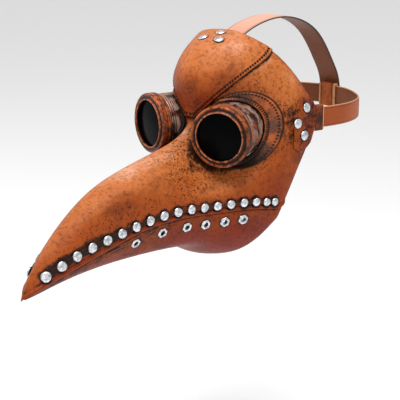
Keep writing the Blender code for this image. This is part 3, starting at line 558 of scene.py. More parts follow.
def drill(item, centre, axis, radius, front, back, sides=48):
    """Cut a round hole through a piece with an exact Boolean: a cylinder of that radius along the axis."""
    axis = np.asarray(axis, float)
    x = unit(np.cross([0, 0, 1.0], axis)) * radius
    y = np.cross(axis, x)
    turn = circle_angles(sides)[:, None]
    circle = np.cos(turn) * x + np.sin(turn) * y
    ends = np.concatenate([circle + centre + axis * front, circle + centre - axis * back]) * MM
    mesh = bpy.data.meshes.new("drill")
    around = np.arange(sides)
    after = (around + 1) % sides
    mesh.from_pydata(ends.tolist(), [], [around.tolist()[::-1], (around + sides).tolist()]
                     + np.stack([around, after, after + sides, around + sides], -1).tolist())
    work = bmesh.new()
    work.from_mesh(mesh)
    bmesh.ops.recalc_face_normals(work, faces=work.faces)
    work.to_mesh(mesh)
    work.free()
    tool = bpy.data.objects.new("drill", mesh)
    bpy.context.scene.collection.objects.link(tool)
    modifier = item.modifiers.new("hole", "BOOLEAN")
    modifier.operation, modifier.solver, modifier.object = "DIFFERENCE", "EXACT", tool
    made = bpy.data.meshes.new_from_object(item.evaluated_get(bpy.context.evaluated_depsgraph_get()))
    item.modifiers.clear()
    old, name = item.data, item.data.name
    item.data = made
    bpy.data.meshes.remove(old)
    made.name = name
    bpy.data.objects.remove(tool)


for side in SIDES:
    centre, axis, across = goggle_axes(side)
    drill(face_shell, centre, axis, GOGGLE_HOLE, -6, 75)

# ---- Jaw panel -------------------------------------------------------------------------------
# The lower shell under the beak and chin, of the same moulded leather. Its sunk upper edge meets the
# rolled lip, and a dark line runs along the groove between them; six eyelets a side let air in.
EYELET_HEIGHT, EYELET_HOLE = 9.2, 3.3
eyelet_v = 3.6 + 0.7 * np.arange(6)
eyelet_u = lip_line(eyelet_v, EYELET_HEIGHT, 1)
eyelet_points = skin(eyelet_u, eyelet_v)

JAW_ROWS, JAW_COLUMNS, JAW_TUCK = 241, 121, 0.15
u, v, outer, normals, inner = moulded(
    JAW_ROWS, JAW_COLUMNS, lambda v: lip_line(v, LIP_GAP / 2 + JAW_TUCK, -1), LINES - 1, 0.35)
run = lip_distance(outer)
ripple = np.sin(run * 1.9 + 2.2 * np.sin(v * 5)) * bell(run, 5, 4)
front = 1 - smoothstep(3.4, 5.5, v)
# grime_and_shade: a dark line along the top edge under the lip, dark streaks at the front, dark rings round
# the eyelets and a darker head edge; painted_light_and_tone: painted light, lighter on up-facing parts, at
# the front and near the top edge
marks = {
    "grime_and_shade": highest(
        1 - smoothstep(0.4, 2.2 + 2.5 * front, run),
        (0.5 + 0.3 * ripple) * (0.25 + 0.75 * front) * (1 - smoothstep(8, 20, run)),
        0.9 * (1 - smoothstep(4.6, 6.9, nearest(folded(outer), eyelet_points))),
        0.5 * (1 - smoothstep(1, 6, (LAST - v) * 20))),
    "pits": np.broadcast_to(0.1 + 0.35 * front, run.shape),
    "painted_light_and_tone": np.clip(0.42 + 0.5 * normals[..., 2] + 0.2 * front + 0.15 * bell(run, 0, 9), 0, 1)}
outer = outer + normals * (-0.5 * bell(run, 0, 2.0) + 0.25 * ripple * front
                           * smoothstep(0.8, 1.8, v))[..., None]
# lit, middle and shaded copies of the red leather: painted light and shade
jaw_leather = worn_leather("red_leather", (0.40, 0.085, 0.012), (0.27, 0.043, 0.003), (0.19, 0.013, 0.001),
                           (0.035, 0.007, 0.002))
points, faces = walled(outer, inner)
jaw = piece("jaw_leather", points, faces, jaw_leather, ["jaw_panel"], marks=marks)

# ---- Forehead panel --------------------------------------------------------------------------
# A shield-shaped overlay of thinner leather, skived at its edge and lock-stitched to the shell with a
# waxed dark thread that has sunk into a groove along both sides and across the bridge.
PANEL_LOW, PANEL = 0.95, 1.6
FOREHEAD_RIVETS = {"left": (0.3, 10.22), "right": (-0.3, 10.22), "rear": (0.0, 10.66)}
rows, columns = 161, 181
share = np.linspace(-1, 1, columns)
v = PANEL_BOTTOM + (LAST - 0.02 - PANEL_BOTTOM) * np.linspace(0, 1, rows)
u = seam_line(v)[:, None] * share
v = np.repeat(v[:, None], columns, axis=1)
outer, normals = skin(u, v), skin_normal(u, v)
to_edge = np.minimum(lip_distance(outer), travelled(outer, 0))
SEAM_INSET = 3.9
# halo: painted shadow rings round the forehead rivets
halo = 1 - smoothstep(4.7, 7.0, nearest(outer, skin(*np.transpose(list(FOREHEAD_RIVETS.values())))))
skive = -0.9 * bell(to_edge, 0, 0.9)
groove = -0.55 * bell(to_edge, SEAM_INSET, 0.8)
swell = 0.35 * bell(to_edge, 1.8, 0.9) + 0.3 * bell(to_edge, 5.6, 1.4)
# grime_and_shade: a dark cut edge fading inwards, painted shade in the stitch groove, a darker band at the
# bridge and painted shadow rings round the rivets; painted_light_and_tone: painted light on up-facing and
# higher parts
marks = {
    "grime_and_shade": np.maximum(0.95 * (1 - smoothstep(0.2, 1.1, to_edge)),
                        0.1 * bell(to_edge, SEAM_INSET, 0.9)) + 0.12 * bell(to_edge, 0, 9)
    + 0.18 * bell(v, 7.6, 0.8) + 0.75 * halo,
    "pits": 0.15 + 0.5 * bell(to_edge, 7, 5),
    "painted_light_and_tone": np.clip(0.34 + 0.62 * normals[..., 2] + (outer[..., 2] - 40) / 200, 0, 1)}
outer = outer + normals * (PANEL_LOW + PANEL + skive + groove + swell)[..., None]
inner = skin(u, v)[::2, ::2] + normals[::2, ::2] * PANEL_LOW
points, faces = walled(outer, inner)
piece("forehead_panel_leather", points, faces, shell_leather, ["forehead_panel"], marks=marks)

THREAD_COLOUR = (0.008, 0.004, 0.003)


def waxed_thread():
    make = Finish("waxed_thread")
    twist = make.node("ShaderNodeTexWave", {"Vector": make.place, "Scale": 900.0, "Distortion": 1.0})
    return make.set(Base_Color=make.mix(make.noise(700), THREAD_COLOUR, (0.05, 0.02, 0.012)), Roughness=0.6,
                    Specular_IOR_Level=0.08, Normal=make.bump(twist, 0.0002))


def stitches(path, ups, length, gap, radius):
    """Points and faces of stitches along a path: each is a bead, a ring of eight points carried along an
    arc whose radius goes as sqrt(1 - t^8) and whose middle rises by (1 - t^2)."""
    run = travelled(path, 0)
    number = int(run[-1] / (length + gap))
    start = (np.arange(number) + 0.5) * run[-1] / number
    t = np.array([-1, -0.85, -0.4, 0.4, 0.85, 1])
    at = start[:, None] + t * length / 2
    place = np.stack([np.interp(at, run, path[:, k]) for k in range(3)], -1)
    up = unit(np.stack([np.interp(at, run, ups[:, k]) for k in range(3)], -1))
    side = unit(np.cross(place[:, -1:] - place[:, :1], up))
    turn = circle_angles(8)
    width = radius * np.sqrt(np.clip(1 - t ** 8, 0.0004, 1))[:, None, None]
    ring = (np.cos(turn)[:, None] * side[:, :, None] + np.sin(turn)[:, None] * up[:, :, None]) * width
    points = place[:, :, None] + up[:, :, None] * (0.35 * radius * (1 - t ** 2))[:, None, None] + ring
    size = len(t) * len(turn)
    faces = np.concatenate([lattice(len(t), len(turn), n * size, ring=True) for n in range(number)])
    caps = np.arange(number)[:, None] * size + np.arange(len(turn))
    return points, [faces, caps[:, ::-1], caps + size - len(turn)]


def inset_curve(distance):
    """Line a distance in from the panel's edge, up one side, with its normals."""
    v = np.linspace(PANEL_BOTTOM, LAST - 0.05, 220)
    edge = seam_line(v)
    shares = 1 - 0.6 * np.linspace(0, 1, 60)
    run = travelled(skin(edge[:, None] * shares, v[:, None]), 1)
    u = edge * np.array([np.interp(distance, r, shares) for r in run])
    keep = np.linalg.norm(skin(u, v) - skin(u[:1], v[:1]), axis=-1) > distance * 0.9
    return skin(u[keep], v[keep]), skin_normal(u[keep], v[keep])


thread = waxed_thread()
path, ups = inset_curve(SEAM_INSET)
path = path + ups * (PANEL_LOW + PANEL - 0.25)
for side, sign in SIDES.items():
    points, faces = stitches(path * [sign, 1, 1], ups * [sign, 1, 1], 1.7, 1.3, 0.95)
    piece(f"forehead_stitches_{side}", points, faces, thread)
across = np.linspace(-0.22, 0.22, 40)
bridge_v = np.full(40, PANEL_BOTTOM + 0.13)
path, ups = skin(across, bridge_v), skin_normal(across, bridge_v)
points, faces = stitches(path + ups * (PANEL_LOW + PANEL - 0.25), ups, 1.6, 1.3, 0.9)
piece("bridge_stitches", points, faces, thread)

# ---- Eye surrounds ---------------------------------------------------------------------------
# A crescent of darker leather round the foot of each goggle, wide towards the temple. Its edge is
# turned down and a row of awl holes runs just inside it, with a second row beside the inner bead.
RIM_DEPTH, SURROUND_LOW, BARREL_RADIUS = 10.0, 1.0, 26.8
HOLE_RING, HOLE_PITCH = 36, 2.6
tree_u, tree_v = np.meshgrid(np.linspace(1 - LINES, LINES - 1, 161), np.linspace(0.3, LAST, 161))
skin_tree = BVHTree.FromPolygons(skin(tree_u, tree_v).reshape(-1, 3).tolist(), lattice(161, 161).tolist())


def skin_depth(side, radius, angle):
    """Depth behind the rim's front, along the goggle's axis, at which the mould lies, and its slope."""
    centre, axis, across = goggle_axes(side)
    found = []
    for r, a in zip(radius.ravel(), angle.ravel()):
        start = centre + r * (math.cos(a) * across + math.sin(a) * np.array([0, 0, 1])) + axis * 4
        _, normal, _, distance = skin_tree.ray_cast(Vector(start), Vector(-axis))
        found.append((distance - 4, abs(normal.dot(Vector(axis)))))
    found = np.array(found).reshape(*radius.shape, 2)
    return found[..., 0], found[..., 1]


def evened(depth, times):
    """Depths round a ring, each swapped a few times for the mean of itself twice and its neighbours."""
    for _ in range(times):
        depth = (np.roll(depth, 1, 1) + 2 * depth + np.roll(depth, -1, 1)) / 4
    return depth


def goggle_points(side, radius, depth, angle):
    """Points at a radius and depth about a goggle's axis: centre + r(cos a across + sin a up) - d axis."""
    centre, axis, across = goggle_axes(side)
    around = np.cos(angle)[..., None] * across + np.sin(angle)[..., None] * np.array([0, 0, 1.0])
    return centre + radius[..., None] * around - depth[..., None] * axis


def surround_leather():
    """Dark worn leather with two rows of awl holes, laid out on the UV map: u is the arc in holes and v
    runs from the bead (0) to the outer edge (1). A lit colour on top and a shaded one below are painted
    light and shade, and the holes are dark dots of painted shade."""
    make = Finish("surround_leather")
    mottle, cloud, grain = make.noise(210, 6, 0.7), make.noise(42, 4, 0.6), make.noise(1200, 3)
    # painted light: top is the lit colour and low the shaded one, mixed by the painted_light_and_tone mark
    top = make.over((0.42, 0.095, 0.018), (0.11, 0.042, 0.024), cloud, 0.4, 0.62)
    low = make.over((0.10, 0.022, 0.006), (0.035, 0.012, 0.006), cloud, 0.42, 0.6)
    colour = make.over(low, top, make.plus(make.mark("painted_light_and_tone"), make.times(mottle, 0.3)), 0.42, 0.95)
    colour = make.over(colour, (0.03, 0.011, 0.006), mottle, 0.5, 0.66, 0.75)
    parts = make.node("ShaderNodeSeparateXYZ", {"Vector": make.node("ShaderNodeUVMap")}).node
    along = make.minus(make.math("FRACT", parts.outputs["X"]), 0.5)
    dots = []
    for row in (0.2, 0.8):
        across = make.times(make.minus(parts.outputs["Y"], row), 4.6)
        far = make.math("SQRT", make.plus(make.times(along, along), make.times(across, across)))
        dots.append(make.minus(1.0, make.ramp(far, 0.2, 0.4)))
    # holes: dark dots, painted shade inside the awl holes
    holes = make.math("MAXIMUM", *dots)
    dark = (0.01, 0.004, 0.003)
    colour = make.mix(make.times(holes, 0.9), colour, dark)
    colour = make.over(colour, dark, make.broken("grime_and_shade", mottle, 0.8), 0.3, 0.7, 0.93)
    relief = make.minus(make.plus(make.times(mottle, 0.5), make.times(grain, 0.15)), holes)
    return make.set(Base_Color=colour, Roughness=make.plus(make.times(mottle, 0.35), 0.25),
                    Normal=make.bump(relief, 0.0009), Specular_IOR_Level=0.2)


crescent = surround_leather()
for side in SIDES:
    columns, rows = 192, 33
    angle = circle_angles(columns)
    start = BARREL_RADIUS + 0.6
    outline = np.maximum(33.5 + 9.5 * np.cos(angle - math.radians(8)), start + 1.4)
    share = np.linspace(0, 1, rows)[:, None]
    radius, angles = start + share * (outline - start), np.repeat(angle[None], rows, axis=0)
    depth, slope = skin_depth(side, radius[::4], angles[::4])
    depth = evened(depth, 2)
    slope = np.maximum(slope, 0.4)
    width = (outline - start) * np.ones((rows, 1))
    to_edge, to_bead = (1 - share) * width, share * width
    blend = np.linspace(0, 8, rows)
    low = np.minimum(blend.astype(int), 7)
    part = (blend - low)[:, None]
    depth, slope = (grid[low] * (1 - part) + grid[low + 1] * part for grid in (depth, slope))
    turned_edge = 1.5 * (1 - smoothstep(0, 1.3, to_edge)) - 0.5 * bell(to_edge, 1.9, 0.8)
    bead = 1.5 * bell(to_bead, 1.7, 1.1) * smoothstep(3, 6, width)
    thickness = 1.6 - turned_edge + bead - 0.35 * bell(to_bead, 4, 1.1) * smoothstep(4, 8, width)
    top_depth = np.maximum(depth - (SURROUND_LOW + thickness) / slope, RIM_DEPTH + 0.6)
    upper = goggle_points(side, radius, top_depth, angles)
    lower = goggle_points(side, radius, np.maximum(depth - SURROUND_LOW / slope, top_depth + 0.05), angles)
    points = np.concatenate([upper, lower[::-1]])
    holes = np.round(2 * np.pi * HOLE_RING / HOLE_PITCH)
    uv = np.stack([angles * holes / (2 * np.pi), np.where(width < 5, 0.5, share * np.ones_like(width))], -1)
    # grime_and_shade: a darker turned-down edge, and painted shade beside the bead, in the groove and on the
    # lower side; painted_light_and_tone: painted light, lighter towards the top
    marks = {"grime_and_shade": highest(1 - smoothstep(0.3, 1.5, to_edge), 1.1 * bell(to_bead, 0, 1.1),
                              0.75 * bell(to_bead, 4, 1),
                              0.75 * smoothstep(0.2, 0.9, 0.5 - 0.5 * np.sin(angles + 0.3))),
             "painted_light_and_tone": 0.5 + 0.5 * np.sin(angles + math.radians(35))}
    piece(f"eye_surround_{side}_leather", points, hoop(2 * rows, columns), crescent,
          [f"eye_surround_{side}"], marks=marks, uv=uv)

# ---- Goggle barrels --------------------------------------------------------------------------
# Spun tubes that pass through the shell, painted old bronze: turned grooves behind the rim, then a plain
# stretch where the paint has been dabbed on in upright patches, and a dark foot. The grooves, the foot and
# the underside carry painted shade, and the upper side behind the rim a pale painted highlight.


def turned(profile, side, sides):
    """Grid of a profile of (radius, depth) rows turned about a goggle's axis."""
    profile = np.asarray(profile, float)
    return goggle_points(side, profile[:, :1], profile[:, 1:], circle_angles(sides)[None])


def rounded(profile, size=0.35, steps=3):
    """A closed or open outline of (radius, depth) points with each corner swapped for a small arc, a
    quadratic curve between points that lie size away on the two edges."""
    points = np.asarray(profile, float)
    before, after = points[:-2] - points[1:-1], points[2:] - points[1:-1]
    lengths = [np.linalg.norm(edge, axis=1, keepdims=True) for edge in (before, after)]
    start = points[1:-1] + before / lengths[0] * np.minimum(size, lengths[0] * 0.45)
    end = points[1:-1] + after / lengths[1] * np.minimum(size, lengths[1] * 0.45)
    t = np.linspace(0, 1, steps)[None, :, None]
    arcs = (1 - t) ** 2 * start[:, None] + 2 * t * (1 - t) * points[1:-1, None] + t ** 2 * end[:, None]
    return np.concatenate([points[:1], arcs.reshape(-1, 2), points[-1:]])


def old_bronze():
    """Paint in layers: dark ground, pinkish silver and copper dabs stretched up and down, a pale worn band
    behind the rim with a painted highlight on top, and near-black painted shade in the grooves, at the foot
    and underneath.
    """
    make = Finish("old_bronze")
    dab = make.noise(1, 5, 0.7, make.stretched((120, 120, 60)), 0.4)
    patch, fine = make.noise(62, 5, 0.65), make.noise(700, 4, 0.6)
    colour = make.over((0.02, 0.009, 0.006), (0.42, 0.26, 0.20), dab, 0.42, 0.57)
    colour = make.over(colour, (0.26, 0.055, 0.018), patch, 0.5, 0.6, 0.75)
    # pale paint and painted highlight where rub is high, painted shade where grime_and_shade is high
    colour = make.over(colour, (0.50, 0.22, 0.14), make.mark("rub"), 0.2, 0.8, 0.85)
    colour = make.over(colour, (0.008, 0.004, 0.003), make.broken("grime_and_shade", dab, 0.7), 0.3, 0.75, 0.96)
    relief = make.plus(make.times(dab, 0.5), make.times(fine, 0.12))
    return make.set(Base_Color=colour, Roughness=make.plus(make.times(patch, 0.4), 0.16), Metallic=0.2,
                    Normal=make.bump(relief, 0.0007), Specular_IOR_Level=0.25)


bronze = old_bronze()
BARREL_FRONT, BARREL_WALL, BARREL_REACH = 8.0, 2.6, 4.5
for side in SIDES:
    sides, rows = 128, 64
    angle = circle_angles(sides)
    depth, _ = skin_depth(side, np.full((1, sides), BARREL_RADIUS), angle[None])
    depth = evened(depth, 3)
    end = depth + BARREL_REACH
    share = np.linspace(0, 1, rows)[:, None]
    depths = BARREL_FRONT + share * (end - BARREL_FRONT)
    behind = depths - RIM_DEPTH
    grooves = sum(bell(behind, place, 0.45) for place in (1.9, 4.2, 6.6))
    foot = bell(depth - depths, 1.5, 2.2)
    outer_radius = BARREL_RADIUS - 0.35 * grooves + 0.25 * bell(behind, 3, 3)
    angles = np.repeat(angle[None], rows, axis=0)
    outside = goggle_points(side, outer_radius, depths, angles)
    inside = goggle_points(side, np.full((rows, sides), BARREL_RADIUS - BARREL_WALL), depths, angles)
    # grime_and_shade: painted shade in the grooves, at the foot where the barrel meets the shell, and
    # underneath; rub: a pale band behind the rim kept to the upper side, a painted highlight
    underneath = 0.5 - 0.5 * np.sin(angles + math.radians(30))
    marks = {"grime_and_shade": highest(grooves, foot * 1.1, 0.62 * smoothstep(0.45, 1, underneath)),
             "rub": np.clip(np.exp(-((behind - 3.4) / 4.2) ** 4) * (1 - grooves)
                            * smoothstep(0.75, 0.1, underneath), 0, 1)}
    piece(f"goggle_barrel_{side}_bronze", np.concatenate([outside, inside[::-1]]), hoop(2 * rows, sides),
          bronze, [f"goggle_barrel_{side}"], marks=marks)

# ---- Goggle rims, lenses and retaining rings -------------------------------------------------
# Each rim screws on the barrel's front: a rounded outer edge, a dished face darkened by painted shade and a
# thin polished lip round the glass; the lip and the outer edge carry painted highlights. Behind it a flat
# black lens is held by a plain ring.
RIM_RADIUS, RIM_APERTURE, LENS_RADIUS = 28.5, 22.0, 25.8
RIM_SIDES, LENS_SIDES = 144, 96


def rim_paint():
    make = Finish("rim_copper")
    mottle, patch, fine = make.noise(240, 6, 0.7), make.noise(70, 5, 0.6), make.noise(1000, 3)
    colour = make.over((0.40, 0.085, 0.014), (0.12, 0.03, 0.010), patch, 0.4, 0.6)
    colour = make.over(colour, (0.03, 0.009, 0.005), mottle, 0.47, 0.6, 0.85)
    # painted highlight where rub is high; near-black painted shade where grime_and_shade is high
    colour = make.over(colour, (0.50, 0.17, 0.085), make.mark("rub"), 0.3, 0.9, make.ramp(mottle, 0.62, 0.42))
    colour = make.over(colour, (0.008, 0.003, 0.002), make.broken("grime_and_shade", mottle, 0.9), 0.3, 0.75, 0.94)
    relief = make.plus(make.times(mottle, 0.6), make.times(fine, 0.12))
    return make.set(Base_Color=colour, Roughness=make.plus(make.times(mottle, 0.35), 0.14), Metallic=0.1,
                    Normal=make.bump(relief, 0.0008), Specular_IOR_Level=0.25)


def black_lens():
    make = Finish("black_lens")
    return make.set(Base_Color=make.mix(make.noise(30), (0.0012, 0.0014, 0.0018), (0.0004, 0.0005, 0.0006)),
                    Roughness=make.plus(make.times(make.noise(400), 0.1), 0.12), Specular_IOR_Level=0.03)


copper, glass = rim_paint(), black_lens()
for side in SIDES:
    lip, edge, bore = RIM_APERTURE, RIM_RADIUS, BARREL_RADIUS + 0.3
    profile = rounded([(lip, 2.8), (lip, 0.35), (lip + 0.5, 0), (lip + 1.0, 0.15), (lip + 1.5, 0.9),
                       (lip + 2.2, 2.0), (lip + 3.6, 2.0), (edge - 2.2, 1.3), (edge - 1.2, 1.3),
                       (edge - 0.3, 2.1), (edge, 3.3), (edge, 6.2), (edge - 0.5, 6.7), (edge - 0.5, 7.2),
                       (edge, 7.7), (edge, RIM_DEPTH), (bore, RIM_DEPTH), (bore, 2.8), (lip, 2.8)])[:-1]
    radius, depth = profile[:, :1], profile[:, 1:]
    # grime_and_shade: painted shade in the dished face, the outer groove and inside the aperture; rub:
    # painted highlights on the lip round the glass and on the outer edge
    marks = {"grime_and_shade": highest(bell(radius - lip, 2.7, 1.4) * (depth > 1) * (depth < 2.2),
                              bell(depth, 6.95, 0.5) * (radius > 27.2) * 0.9,
                              (radius < lip + 0.3) * smoothstep(0.6, 1.4, depth)),
             "rub": highest(bell(radius - lip, 0.6, 0.55) * (depth < 0.8),
                            0.55 * bell(radius, RIM_RADIUS - 0.9, 0.9) * (depth < 4))}
    marks = {key: np.repeat(value, RIM_SIDES, axis=1) for key, value in marks.items()}
    piece(f"goggle_rim_{side}_copper", turned(profile, side, RIM_SIDES), hoop(len(profile), RIM_SIDES),
          copper, [f"goggle_rim_{side}"], marks=marks)

    front, back = 3.1, 5.1
    profile = rounded([(0, front), (LENS_RADIUS, front), (LENS_RADIUS, back), (0, back)], 0.3)
    piece(f"lens_{side}_glass", turned(profile, side, LENS_SIDES),
          [lattice(len(profile), LENS_SIDES, ring=True)], glass, [f"lens_{side}"])

    front, back = 5.4, 7.7
    profile = rounded([(LENS_RADIUS - 2.4, back), (LENS_RADIUS - 2.4, front), (LENS_RADIUS, front),
                       (LENS_RADIUS, back), (LENS_RADIUS - 2.4, back)], 0.25)[:-1]
    piece(f"lens_retainer_{side}_bronze", turned(profile, side, LENS_SIDES),
          hoop(len(profile), LENS_SIDES), bronze, [f"lens_retainer_{side}"])

# ---- Rivets ----------------------------------------------------------------------------------
# Nickel-plated rivets with low domed heads, set by hand, so no two are quite round. Those along the beak
# go through a narrow dark welt; the forehead and temple ones are closed on a washer inside.


def nickel():
    make = Finish("nickel")
    dent, fine = make.noise(420, 3, 0.6), make.noise(1900, 3, 0.6)
    colour = make.over((0.84, 0.85, 0.87), (0.42, 0.44, 0.47), dent, 0.36, 0.64)
    return make.set(Base_Color=colour, Metallic=1.0, Roughness=make.plus(make.times(fine, 0.2), 0.24),
                    Normal=make.bump(make.plus(dent, make.times(fine, 0.15)), 0.0005))


def skin_frames(u, v, lift):
    """Places above the mould, with the outward normal and two directions across it."""
    u, v = np.atleast_1d(np.asarray(u, float)), np.atleast_1d(np.asarray(v, float))
    normal = skin_normal(u, v)
    x = unit(np.cross([0, 0, 1.0], normal))
    return skin(u, v) + normal * lift, x, np.cross(normal, x), normal


def heads(profile, frames, sides, sizes):
    """Copies of a turned profile of (radius, rise) rows, one per frame, each a little out of round: its
    radius times 1 + 0.03 sin(2a + 1.7n) + 0.02 sin(3a + 2.9n) for the nth."""
    place, x, y, z = frames
    number = len(place)
    angle = circle_angles(sides)
    n = np.arange(number)[:, None]
    round_by = 1 + 0.03 * np.sin(2 * angle + n * 1.7) + 0.02 * np.sin(3 * angle + n * 2.9)
    profile = np.asarray(profile, float)
    radius = profile[None, :, :1] * round_by[:, None] * np.asarray(sizes, float)[:, None, None]
    spokes = np.cos(angle)[:, None] * x[:, None, None] + np.sin(angle)[:, None] * y[:, None, None]
    points = place[:, None, None] + radius[..., None] * spokes \
        + profile[None, :, 1, None, None] * z[:, None, None]
    size = len(profile) * sides
    faces = np.concatenate([lattice(len(profile), sides, k * size, ring=True) for k in range(number)])
    return points, [faces]


plate = nickel()
WELT_COLUMNS = 9
DOME = [(0, 1.75), (0.25, 1.72), (0.5, 1.6), (0.72, 1.34), (0.87, 0.95), (0.96, 0.5), (1.0, 0.15),
        (0.97, -0.2), (0.5, -0.25), (0, -0.25)]
welt_leather = worn_leather("welt_leather", (0.20, 0.045, 0.010), (0.13, 0.026, 0.005), (0.09, 0.016, 0.003),
                            (0.02, 0.006, 0.003), 0.5)
for side, sign in SIDES.items():
    sizes = 4.75 - 0.1 * rivet_v
    points, faces = heads([(radius, rise * 1.05) for radius, rise in DOME],
                          skin_frames(rivet_u * sign, rivet_v, 0.55), 28, sizes)
    piece(f"beak_rivets_{side}", points, faces, plate, [f"beak_rivet_strip_{side}"])
    # welt: a half-round strip along the row, its height 0.1 + 0.85 sqrt(1 - t^2)
    across = np.linspace(-1, 1, WELT_COLUMNS)
    middle, normals = skin(row_u * sign, row_v), skin_normal(row_u * sign, row_v)
    sideways = np.cross(unit(np.gradient(middle, axis=0)), normals)
    taper = np.sqrt(np.clip(1 - np.linspace(-1, 1, ROW_STEPS) ** 30, 0.01, 1))[:, None, None]
    half = 2.4 + 0.25 * np.sin(row_v * 23)[:, None, None]
    strip = middle[:, None] + sideways[:, None] * across[:, None] * half * taper
    top = strip + normals[:, None] * (0.1 + 0.85 * np.sqrt(1 - across ** 2))[:, None] * taper
    under = strip - normals[:, None] * 0.5
    points, faces = walled(top[:-1], under[:-1:2, ::2])
    marks = {"grime_and_shade": (1.0 - 0.55 * smoothstep(3.0, 5.0, row_v[:-1, None])) * np.ones(WELT_COLUMNS),
             "pits": np.full((ROW_STEPS - 1, WELT_COLUMNS), 0.5),
             "painted_light_and_tone": np.full((ROW_STEPS - 1, WELT_COLUMNS), 0.2)}
    piece(f"beak_welt_{side}", points, faces, welt_leather, marks=marks)

HEAD_LIFT = PANEL_LOW + PANEL + 0.3
SHANK, WASHER = 1.6, 3.5


def full_rivet(stack):
    """Profile of a whole rivet: domed head, shank through the stack, and the washer it is closed on."""
    return [(0, 1.7), (1.6, 1.6), (3.0, 1.25), (4.0, 0.75), (4.5, 0.3), (4.6, 0.05), (4.4, -0.1),
            (SHANK, -0.1), (SHANK, -stack), (WASHER, -stack), (WASHER, -stack - 0.8), (0, -stack - 0.8)]


FOREHEAD_STACK = 10.6
TEMPLE_RIVETS = {"front": (3.42, 9.5, 13.8), "upper": (3.3, 10.3, 6.4), "lower": (3.78, 10.05, 6.4)}
rivets = [(f"forehead_rivet_{part}", u, v, FOREHEAD_STACK) for part, (u, v) in FOREHEAD_RIVETS.items()]
rivets += [(f"temple_rivet_{part}_{side}", u * sign, v, stack) for side, sign in SIDES.items()
           for part, (u, v, stack) in TEMPLE_RIVETS.items()]
for name, u, v, stack in rivets:
    points, faces = heads(full_rivet(stack), skin_frames(u, v, HEAD_LIFT), 36, [1.0])
    piece(name + "_nickel", points, faces, plate, [name])

# ---- Eyelets ---------------------------------------------------------------------------------
# Rolled brass eyelets, nickel-plated, flared outside over the leather and inside over a washer. The
# outside flange is beaten flat in facets.


def eyelet_shape(frames, sides):
    """Tube with a rolled flange: a closed outline of (radius, rise) turned round, with the flange's edge
    moved by 4.5% sin(6a) so that it has six soft corners."""
    outline = rounded([(2.3, -3.7), (2.3, 0.7), (2.9, 1.25), (3.9, 1.1), (4.75, 0.35), (4.6, 0.1), (3.2, 0.1),
                       (3.2, -2.9), (4.4, -2.9), (4.4, -3.7), (2.3, -3.7)], 0.3)[:-1]
    angle = circle_angles(sides)
    soft = 1 + 0.045 * np.sin(6 * angle) * smoothstep(3.3, 4.6, outline[:, :1])
    place, x, y, z = (item[0] for item in frames)
    radius = outline[:, :1] * soft
    spokes = np.cos(angle)[:, None] * x + np.sin(angle)[:, None] * y
    points = place + radius[..., None] * spokes + outline[:, 1, None, None] * z
    return points, hoop(len(outline), sides)


for side, sign in SIDES.items():
    for number in range(6):
        frames = skin_frames(eyelet_u[number] * sign, eyelet_v[number], 0)
        points, faces = eyelet_shape(frames, 48)
        name = f"eyelet_{side}_{number + 1}"
        piece(name + "_nickel", points, faces, plate, [name])
        drill(jaw, frames[0][0], frames[3][0], EYELET_HOLE, 4, 6, 24)

# ---- Temple tabs -----------------------------------------------------------------------------
# Tongues of the shell's own leather under the temple rivets, which spread the pull of the rear strap.
# They are cut round at the front, thinned at the edge and creased just inside it.
TAB_FRONT = 9.25
for side, sign in SIDES.items():
    rows, columns = 61, 41
    share = np.linspace(0, 1, rows)
    v = TAB_FRONT + share * (LAST - 0.03 - TAB_FRONT)
    wide = 0.28 + 0.24 * np.sin(np.pi * np.minimum(share * 1.6, 1) / 2)
    u = (3.5 + 0.12 * share)[:, None] + wide[:, None] * np.linspace(-1, 1, columns)
    u, v = u * sign, np.repeat(v[:, None], columns, axis=1)
    outer, normals = skin(u, v), skin_normal(u, v)
    run = np.minimum(lip_distance(outer), travelled(outer, 0))
    lift = PANEL_LOW + PANEL * np.sqrt(np.clip(1 - (1 - np.clip(run / 1.2, 0, 1)) ** 2, 0.1, 1)) \
        - 0.3 * bell(run, 2.6, 0.7)
    inner = (outer + normals * PANEL_LOW)[::2, ::2]
    points, faces = walled(outer + normals * lift[..., None], inner)
    rivet_lines, rivet_stations, _ = np.transpose(list(TEMPLE_RIVETS.values()))
    to_rivet = nearest(outer, skin(rivet_lines * sign, rivet_stations))
    # grime_and_shade: a darker thinned edge, painted shade in the crease, painted shadow rings round the
    # rivets, and darker towards the back; painted_light_and_tone: darker towards the back
    marks = {"grime_and_shade": highest(0.3 * (1 - smoothstep(0.2, 1.4, run)),
                              0.12 * bell(run, 2.6, 0.8),
                              1 - smoothstep(4.6, 6.8, to_rivet),
                              (0.35 + 0.2 * share[:, None]) * np.ones(columns)),
             "pits": np.full(run.shape, 0.5), "painted_light_and_tone": 0.5 - 0.4 * share[:, None] * np.ones(columns)}
    piece(f"temple_tab_{side}_leather", points, faces, shell_leather, [f"temple_tab_{side}"],
          marks=marks)

# ---- Head straps -----------------------------------------------------------------------------
# Smooth bridle leather, 2 mm thick with rounded, creased edges left pale where they were cut. The rear
# strap is in two parts, riveted inside the temples and buckled behind; the top strap is riveted under
# the forehead and ends in a loop round the rear strap.
STRAP = 2.0
STRAP_SIDES, SLEEVE_SIDES = 56, 96
REAR_WIDTH, TOP_WIDTH = 20.0, 25.0
LAYER = (STRAP + 0.3) / 2
STRAP_FRONT = [(62.3, -62, 15.5), (64.9, -50, 15.2), (67.7, -38, 15), (71.6, -20, 14.5), (75.2, -3, 13.8)]
STRAP_SIDE = [(76.6, 18, 13), (73.5, 38, 12.2), (65.5, 58, 11.3), (51.5, 75.5, 10.6)]
BUCKLE_ANGLE = math.radians(34)
BUCKLE_MIDDLE = np.array([-39.5, 84.0, 9.9])
BUCKLE_RUN = np.array([-math.cos(BUCKLE_ANGLE), -math.sin(BUCKLE_ANGLE), 0])
